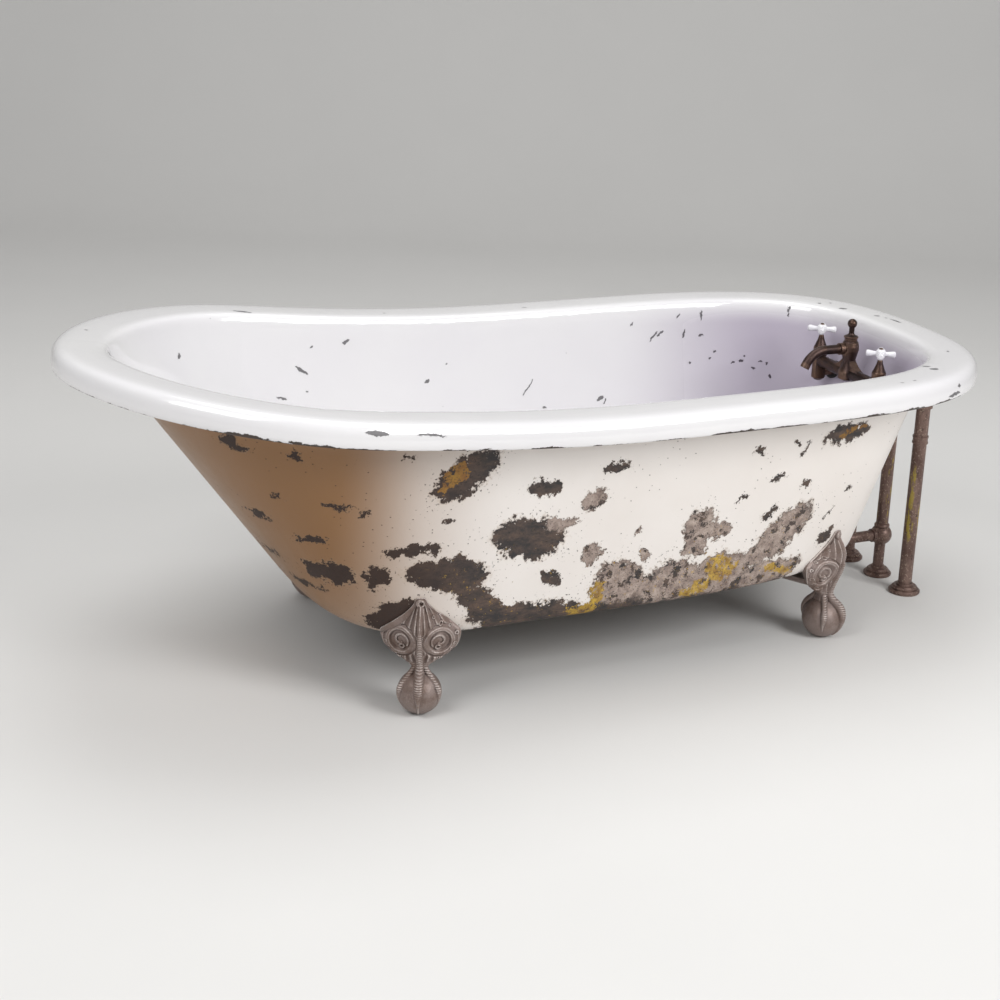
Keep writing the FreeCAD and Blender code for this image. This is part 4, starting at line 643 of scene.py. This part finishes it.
# Claws in mm: points of the centre line with the claw's radius, from the leg down to the nail's tip.
FRONT_CLAW = [
    (30, 0, 160, 2.4),
    (33, 0, 150, 3.4),
    (27, 0, 131, 4.2),
    (17, 0, 108, 5.2),
    (11, 0, 88, 6.4),
    (18, 0, 75, 7.6),
    (32, 0, 64, 8.6),
    (39, 0, 52, 7.6),
    (40, 0, 38, 5.8),
    (36, 0, 24, 4.4),
    (28, 0, 11, 2.8),
    (22, 0, 5, 1.2),
]
SIDE_CLAW = [
    (3, 8, 86, 4.6),
    (6, 13, 77, 4.9),
    (11, 20, 68.5, 4.9),
    (15, 26.5, 60, 5.1),
    (18, 31.5, 51, 5.8),
    (19, 33, 43, 4.8),
    (18, 33, 34, 3.8),
    (16, 30, 24, 2.7),
    (14, 26, 15, 1.2),
]
REAR_CLAW = [
    (-13, 0, 84, 6.0),
    (-22, 0, 73, 6.5),
    (-33, 0, 62, 6.5),
    (-39, 0, 50, 5.8),
    (-39, 0, 36, 4.4),
    (-34, 0, 20, 2.6),
    (-29, 0, 12, 1.2),
]
CLAW_RUNGS = 3.8  # mm of height from one rib of a toe to the next
RUNG_RISE = 0.7
NAIL_TOP = 44.0
SCROLL_PLACE = (33.0, 134.0)
SCROLL_SIZE = (25.0, 27.0)
BUTTON_PLACE = (30.5, 124.0)
# Rings along the leaf's edge in mm: distance from the crease, height, radius.
STUDS = [
    (22, 178, 3.4),
    (34, 166, 4.4),
    (49, 160, 3.0),
    (61, 146, 4.4),
    (58, 128, 3.6),
    (52, 118, 3.0),
    (41, 107, 3.0),
    (31, 101, 3.0),
]
VEINS = 5  # on each side of the crease


def between(a, b, c, d, t):
    """Value at t from b to c on a smooth curve that comes from a and goes on to d."""
    square = 2 * a - 5 * b + 4 * c - d
    cube = 3 * b - a - 3 * c + d
    return 0.5 * (2 * b + (c - a) * t + square * t**2 + cube * t**3)


def smooth_run(stops, steps):
    """Smooth curve through stops, each a tuple of numbers, with steps from one to the next."""
    run = []
    for i in range(len(stops) - 1):
        before = stops[max(i - 1, 0)]
        here = stops[i]
        after = stops[i + 1]
        beyond = stops[min(i + 2, len(stops) - 1)]
        for k in range(steps):
            t = k / steps
            run.append(tuple(between(*four, t) for four in zip(before, here, after, beyond)))
    run.append(stops[-1])
    return run


class Shape:
    """Vertices and faces of a mesh under construction."""

    def __init__(self):
        self.verts = []
        self.faces = []

    def skin(self, rings):
        """Closes a skin round a run of rings, with a cap at each end."""
        start = len(self.verts)
        count = len(rings[0])
        for ring in rings:
            self.verts += ring
        for i in range(len(rings) - 1):
            for k in range(count):
                low = start + i * count
                ahead = (k + 1) % count
                self.faces.append((low + k, low + ahead, low + count + ahead, low + count + k))
        self.faces.append(tuple(start + k for k in reversed(range(count))))
        top = start + (len(rings) - 1) * count
        self.faces.append(tuple(top + k for k in range(count)))

    def piece(self, name):
        mesh = bpy.data.meshes.new(name)
        mesh.from_pydata(self.verts, [], self.faces)
        mesh.update()
        made = bpy.data.objects.new(name, mesh)
        bpy.context.scene.collection.objects.link(made)
        return made


def leg_ring(height, crease, edge, back, half_width, roundness):
    """Level ring of the leaf or the ankle: folded along the front, blunt behind."""
    ring = []
    across = 26
    for k in range(across + 1):
        t = -1 + 2 * k / across
        folded = 1 - abs(t)
        bowed = math.sqrt(max(1 - t * t, 0))
        share = folded + (bowed - folded) * roundness
        ring.append((edge + (crease - edge) * share, half_width * t, height))
    behind = 10
    for k in range(1, behind):
        t = 1 - 2 * k / behind
        ring.append((back + (edge - back) * abs(t) ** 3, half_width * t, height))
    return ring


def claw_rings(stops, side=1):
    """Rings of a toe, which narrows to a blade at the nail."""
    run = smooth_run([(x, side * y, z, r) for x, y, z, r in stops], 9)
    rings = []
    count = 18
    for i, (x, y, z, radius) in enumerate(run):
        here = Vector((x, y, z))
        before = Vector(run[max(i - 1, 0)][:3])
        after = Vector(run[min(i + 1, len(run) - 1)][:3])
        heading = (after - before).normalized()
        outward = (here - Vector((-6.0, 0.0, z - 14))).normalized()
        across = heading.cross(outward).normalized()
        outward = across.cross(heading).normalized()
        thin = 1 - 0.4 * window(z, NAIL_TOP, 20.0)
        ring = []
        for k in range(count):
            angle = 2 * math.pi * k / count
            ahead = outward * (radius * math.cos(angle))
            aside = across * (radius * thin * math.sin(angle))
            ring.append(tuple(here + ahead + aside))
        rings.append(ring)
    return rings


def ball_rings():
    rings = []
    levels = 32
    turns = [2 * math.pi * k / 48 for k in range(48)]
    for i in range(1, levels):
        down = math.pi * i / levels
        level = BALL_HEIGHT + BALL_RADIUS * math.cos(down)
        reach = BALL_RADIUS * math.sin(down)
        rings.append([(reach * math.cos(turn), reach * math.sin(turn), level) for turn in turns])
    return rings[::-1]


def boss_rings():
    """Screw boss that stands out at the leaf's tip."""
    start, level = BOSS_PLACE
    rings = []
    for along, size in (
        (0.0, 1.0),
        (BOSS_LENGTH - 2.0, 1.0),
        (BOSS_LENGTH - 0.6, 0.86),
        (BOSS_LENGTH, 0.66),
    ):
        ring = []
        for k in range(24):
            angle = 2 * math.pi * k / 24
            aside = size * BOSS_RADIUS * math.cos(angle)
            above = size * BOSS_RADIUS * math.sin(angle)
            ring.append((start + along, aside, level + above))
        rings.append(ring)
    return rings


def tongue_rings():
    """Plate under the basin, by which the foot is bolted on."""
    half = 17.0
    low = 97.0
    high = 109.0
    soft = 2.0
    corners = [
        (-half, low + soft),
        (-half + soft, low),
        (half - soft, low),
        (half, low + soft),
        (half, high - soft),
        (half - soft, high),
        (-half + soft, high),
        (-half, high - soft),
    ]
    return [[(x, y, z) for y, z in corners] for x in (-150.0, -149.0, -60.0, -8.0)]


def window(value, start, full):
    """0 at start, 1 at full and beyond, smooth between."""
    t = min(max((value - start) / (full - start), 0.0), 1.0)
    return t * t * (3 - 2 * t)


def scroll_carving(s, z):
    """Round scroll: a thick rim, open towards the tip, and a swirl in its hollow."""
    away_y = (s - SCROLL_PLACE[0]) / SCROLL_SIZE[0]
    away_z = (z - SCROLL_PLACE[1]) / SCROLL_SIZE[1]
    away = math.hypot(away_y, away_z)
    if away > 1.3:
        return 0.0, 1.0
    turn = math.atan2(away_z, away_y)
    opening = window(math.cos(turn + math.radians(160)), 0.6, 0.95)
    rim = window(away, 0.70, 0.82) * (1 - window(away, 0.96, 1.06))
    spiral = 0.14 + 0.42 * ((turn + math.pi * 0.8) % (2 * math.pi)) / (2 * math.pi)
    raised = 3.4 * rim * (1 - 0.8 * opening)
    raised -= 3.4 * window(away, 0.76, 0.62)
    raised += 3.0 * window(abs(away - spiral), 0.13, 0.03) * window(away, 0.68, 0.56)
    raised -= 1.6 * window(abs(away - 1.13), 0.08, 0.0)
    return raised, window(away, 1.08, 1.2)


def leaf_carving(y, z):
    """How far the ornament stands out of the leaf, in mm, at y from its crease and at a height z."""
    s = abs(y)
    raised, clear = scroll_carving(s, z)
    button = math.hypot(s - BUTTON_PLACE[0], z - BUTTON_PLACE[1])
    raised += 4.6 * window(button, 6.0, 4.8) - 3.4 * window(button, 2.8, 1.6)
    half_width = 8 + 60 * min(max((208 - z) / 58, 0.0), 1.0)
    vein = math.cos(2 * math.pi * (VEINS * (s / half_width) ** 0.8 - (z - 150) / 90))
    raised += 2.5 * vein * clear * window(z, 140, 152) * window(s, half_width, half_width * 0.8)
    folds = math.cos(2 * math.pi * (s - (z - 84) * 0.25) / 10.5)
    raised += 2.0 * folds * window(z, 82, 88) * window(z, 114, 104) * clear
    flutes = math.cos(2 * math.pi * s / 4.6)
    raised += 0.9 * flutes * clear * window(z, 104, 112) * window(z, 152, 144) * window(s, 13, 9)
    for stud_y, stud_z, radius in STUDS:
        off = math.hypot(s - stud_y, z - stud_z)
        raised += 2.6 * window(off, radius, radius * 0.7) - 2.2 * window(off, radius * 0.55, radius * 0.25)
    return raised


def foot_blank():
    """The casting before it is carved, in mm: x outwards, z up from the floor."""
    shape = Shape()
    shape.skin([leg_ring(*section) for section in smooth_run(FOOT_SECTIONS, 6)])
    shape.skin(ball_rings())
    shape.skin(claw_rings(FRONT_CLAW))
    shape.skin(claw_rings(SIDE_CLAW, 1))
    shape.skin(claw_rings(SIDE_CLAW, -1))
    shape.skin(claw_rings(REAR_CLAW))
    shape.skin(boss_rings())
    shape.skin(tongue_rings())
    blank = shape.piece("foot_blank")
    remesh = blank.modifiers.new("fuse", "REMESH")
    remesh.mode = "VOXEL"
    remesh.voxel_size = FOOT_VOXEL
    soften = blank.modifiers.new("soften", "SMOOTH")
    soften.factor = 0.5
    soften.iterations = 2
    fused = bpy.data.meshes.new_from_object(blank.evaluated_get(bpy.context.evaluated_depsgraph_get()))
    bpy.data.objects.remove(blank)
    return fused


def triples(mesh, source, name):
    """Vectors that a mesh holds for its vertices."""
    flat = [0.0] * (3 * len(mesh.vertices))
    source.foreach_get(name, flat)
    return list(zip(flat[0::3], flat[1::3], flat[2::3]))


def carved_places(blank):
    """Where each vertex of the blank lies once the leaf is carved, and how far it faces outwards."""
    carved = []
    normals = triples(blank, blank.vertex_normals, "vector")
    for (x, y, z), (facing, _, _) in zip(triples(blank, blank.vertices, "co"), normals):
        on_leaf = window(z, 88, 98) * window(facing, 0.15, 0.4) * window(x, -16, -6)
        beside_crease = window(abs(y), 3.0, 7.0)
        off_tip = 1 - window(math.hypot(y, z - BOSS_PLACE[1]), 11, 6)
        if on_leaf > 0 and beside_crease > 0:
            x += leaf_carving(y, z) * on_leaf * beside_crease * off_tip
        if z > 190:
            screw_hole = window(math.hypot(y - 1.5, z - BOSS_PLACE[1]), 4.2, 2.4)
            x -= 5.0 * screw_hole * window(facing, 0.2, 0.5)
        on_toe = window(z, NAIL_TOP, NAIL_TOP + 4) * window(z, 156, 148)
        if z > 92:
            on_toe *= window(abs(y), 6.5, 4.5)
        on_ball = window(math.dist((x, y, z), (0.0, 0.0, BALL_HEIGHT)), BALL_RADIUS + 3, BALL_RADIUS + 1)
        ribbed = on_toe * (1 - on_ball) * window(facing, 0.0, 0.3)
        x += RUNG_RISE * ribbed * math.cos(2 * math.pi * z / CLAW_RUNGS)
        x += 0.35 * noise.noise(Vector((x, y, z)) * 0.35)
        carved.append((x, y, max(z, 0.0), facing))
    return carved


def carved_foot(name, blank, places):
    """One foot at its stand, bedded on the basin's wall."""
    _, end, side = name.split("_")
    x, spread, turn = FOOT_STANDS[end]
    sign = -1 if side == "near" else 1
    lean = math.radians(turn)
    outward = Vector((math.sin(lean), sign * math.cos(lean), 0.0))
    sideways = Vector((-outward.y, outward.x, 0.0))
    base = Vector((x * MM, sign * spread * MM, 0.0))
    shell = nodes["tub_shell"]
    settled = []
    for px, py, pz, facing in places:
        level = base + sideways * (py * MM) + Vector((0, 0, pz * MM))
        if pz > SEATED_ABOVE:
            found, wall, _, _ = shell.ray_cast(level + outward * (80 * MM), -outward)
            if found:
                seat = (wall - base).dot(outward) / MM
                px = max(px, seat + (PLATE_EDGE if facing > 0.1 else WALL_SEAT))
        settled.extend(level + outward * (px * MM))
    mesh = blank.copy()
    mesh.name = name + "_carved"
    mesh.vertices.foreach_set("co", settled)
    mesh.polygons.foreach_set("use_smooth", [True] * len(mesh.polygons))
    mesh.materials.clear()
    mesh.materials.append(FINISHES["foot_iron"])
    mesh.update()
    foot = bpy.data.objects.new(name + "_carved", mesh)
    bpy.context.scene.collection.objects.link(foot)
    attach(foot, "tub")
    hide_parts(name)


def feet():
    blank = foot_blank()
    places = carved_places(blank)
    for end in FOOT_STANDS:
        for side in ("near", "far"):
            carved_foot(f"foot_{end}_{side}", blank, places)


feet()


# ---- floor, light and camera -----------------------------------------------------------
def floor_and_backdrop():
    """Pale floor that curves up into a backdrop behind the tub."""
    half_width = 6.0
    front = -5.0
    back = 3.4
    bend = 1.6
    height = 5.0
    steps = 24
    profile = [(front, 0.0)]
    for k in range(steps + 1):
        angle = math.pi / 2 * k / steps
        profile.append((back + bend * math.sin(angle), bend * (1 - math.cos(angle))))
    profile.append((back + bend, height))
    verts = []
    for y, z in profile:
        verts += [(-half_width, y, z), (half_width, y, z)]
    faces = [(2 * k, 2 * k + 1, 2 * k + 3, 2 * k + 2) for k in range(len(profile) - 1)]
    mesh = bpy.data.meshes.new("studio_floor")
    mesh.from_pydata(verts, [], faces)
    for polygon in mesh.polygons:
        polygon.use_smooth = True
    floor = bpy.data.objects.new("studio_floor", mesh)
    floor.rotation_euler = (0, 0, -math.radians(CAMERA_HEADING))
    bpy.context.scene.collection.objects.link(floor)
    finish = Finish("studio_paper", Roughness=0.9)
    tone = (finish.grain(2, 3) * 0.8 + 0.5).within()
    finish.set({"Base Color": finish.mix(tone, colour(226, 225, 223), colour(220, 219, 217))})
    mesh.materials.append(finish.material)


def lamp(name, place, aim, size, power):
    light = bpy.data.lights.new(name, "AREA")
    light.size = size
    light.energy = power
    holder = bpy.data.objects.new(name, light)
    holder.location = place
    holder.rotation_mode = "QUATERNION"
    holder.rotation_quaternion = (Vector(aim) - Vector(place)).to_track_quat("-Z", "Y")
    bpy.context.scene.collection.objects.link(holder)


# Lamps: name, place, what it aims at, side in metres, watts.
LAMPS = [
    ("key_light", (1.7, -3.4, 2.6), (0.1, 0.0, 0.3), 1.8, 107),
    ("head_end_light", (-2.6, -1.2, 3.0), (-0.6, 0.0, 0.5), 2.0, 58),
    ("top_light", (0.2, 0.6, 3.4), (0.1, 0.0, 0.4), 2.2, 40),
]
SKY_STRENGTH = 0.32


def studio_light():
    for row in LAMPS:
        lamp(*row)
    world = bpy.data.worlds.new("studio")
    world.use_nodes = True
    world.node_tree.nodes["Background"].inputs["Color"].default_value = (1, 1, 1, 1)
    world.node_tree.nodes["Background"].inputs["Strength"].default_value = SKY_STRENGTH
    bpy.context.scene.world = world


def camera():
    heading = math.radians(CAMERA_HEADING)
    dip = math.radians(CAMERA_DIP)
    roll = math.radians(CAMERA_ROLL)
    forward = Vector((math.sin(heading) * math.cos(dip), math.cos(heading) * math.cos(dip), -math.sin(dip)))
    level = Vector((math.cos(heading), -math.sin(heading), 0.0))
    upright = level.cross(forward)
    across = level * math.cos(roll) + upright * math.sin(roll)
    up = across.cross(forward)
    data = bpy.data.cameras.new("camera")
    data.sensor_width = SENSOR
    data.lens = CAMERA_LENS
    holder = bpy.data.objects.new("camera", data)
    turn = Matrix((across, up, -forward)).transposed()
    holder.matrix_world = Matrix.Translation(CAMERA_PLACE) @ turn.to_4x4()
    bpy.context.scene.collection.objects.link(holder)
    bpy.context.scene.camera = holder


floor_and_backdrop()
studio_light()
camera()
bpy.context.scene.view_settings.view_transform = "Standard"
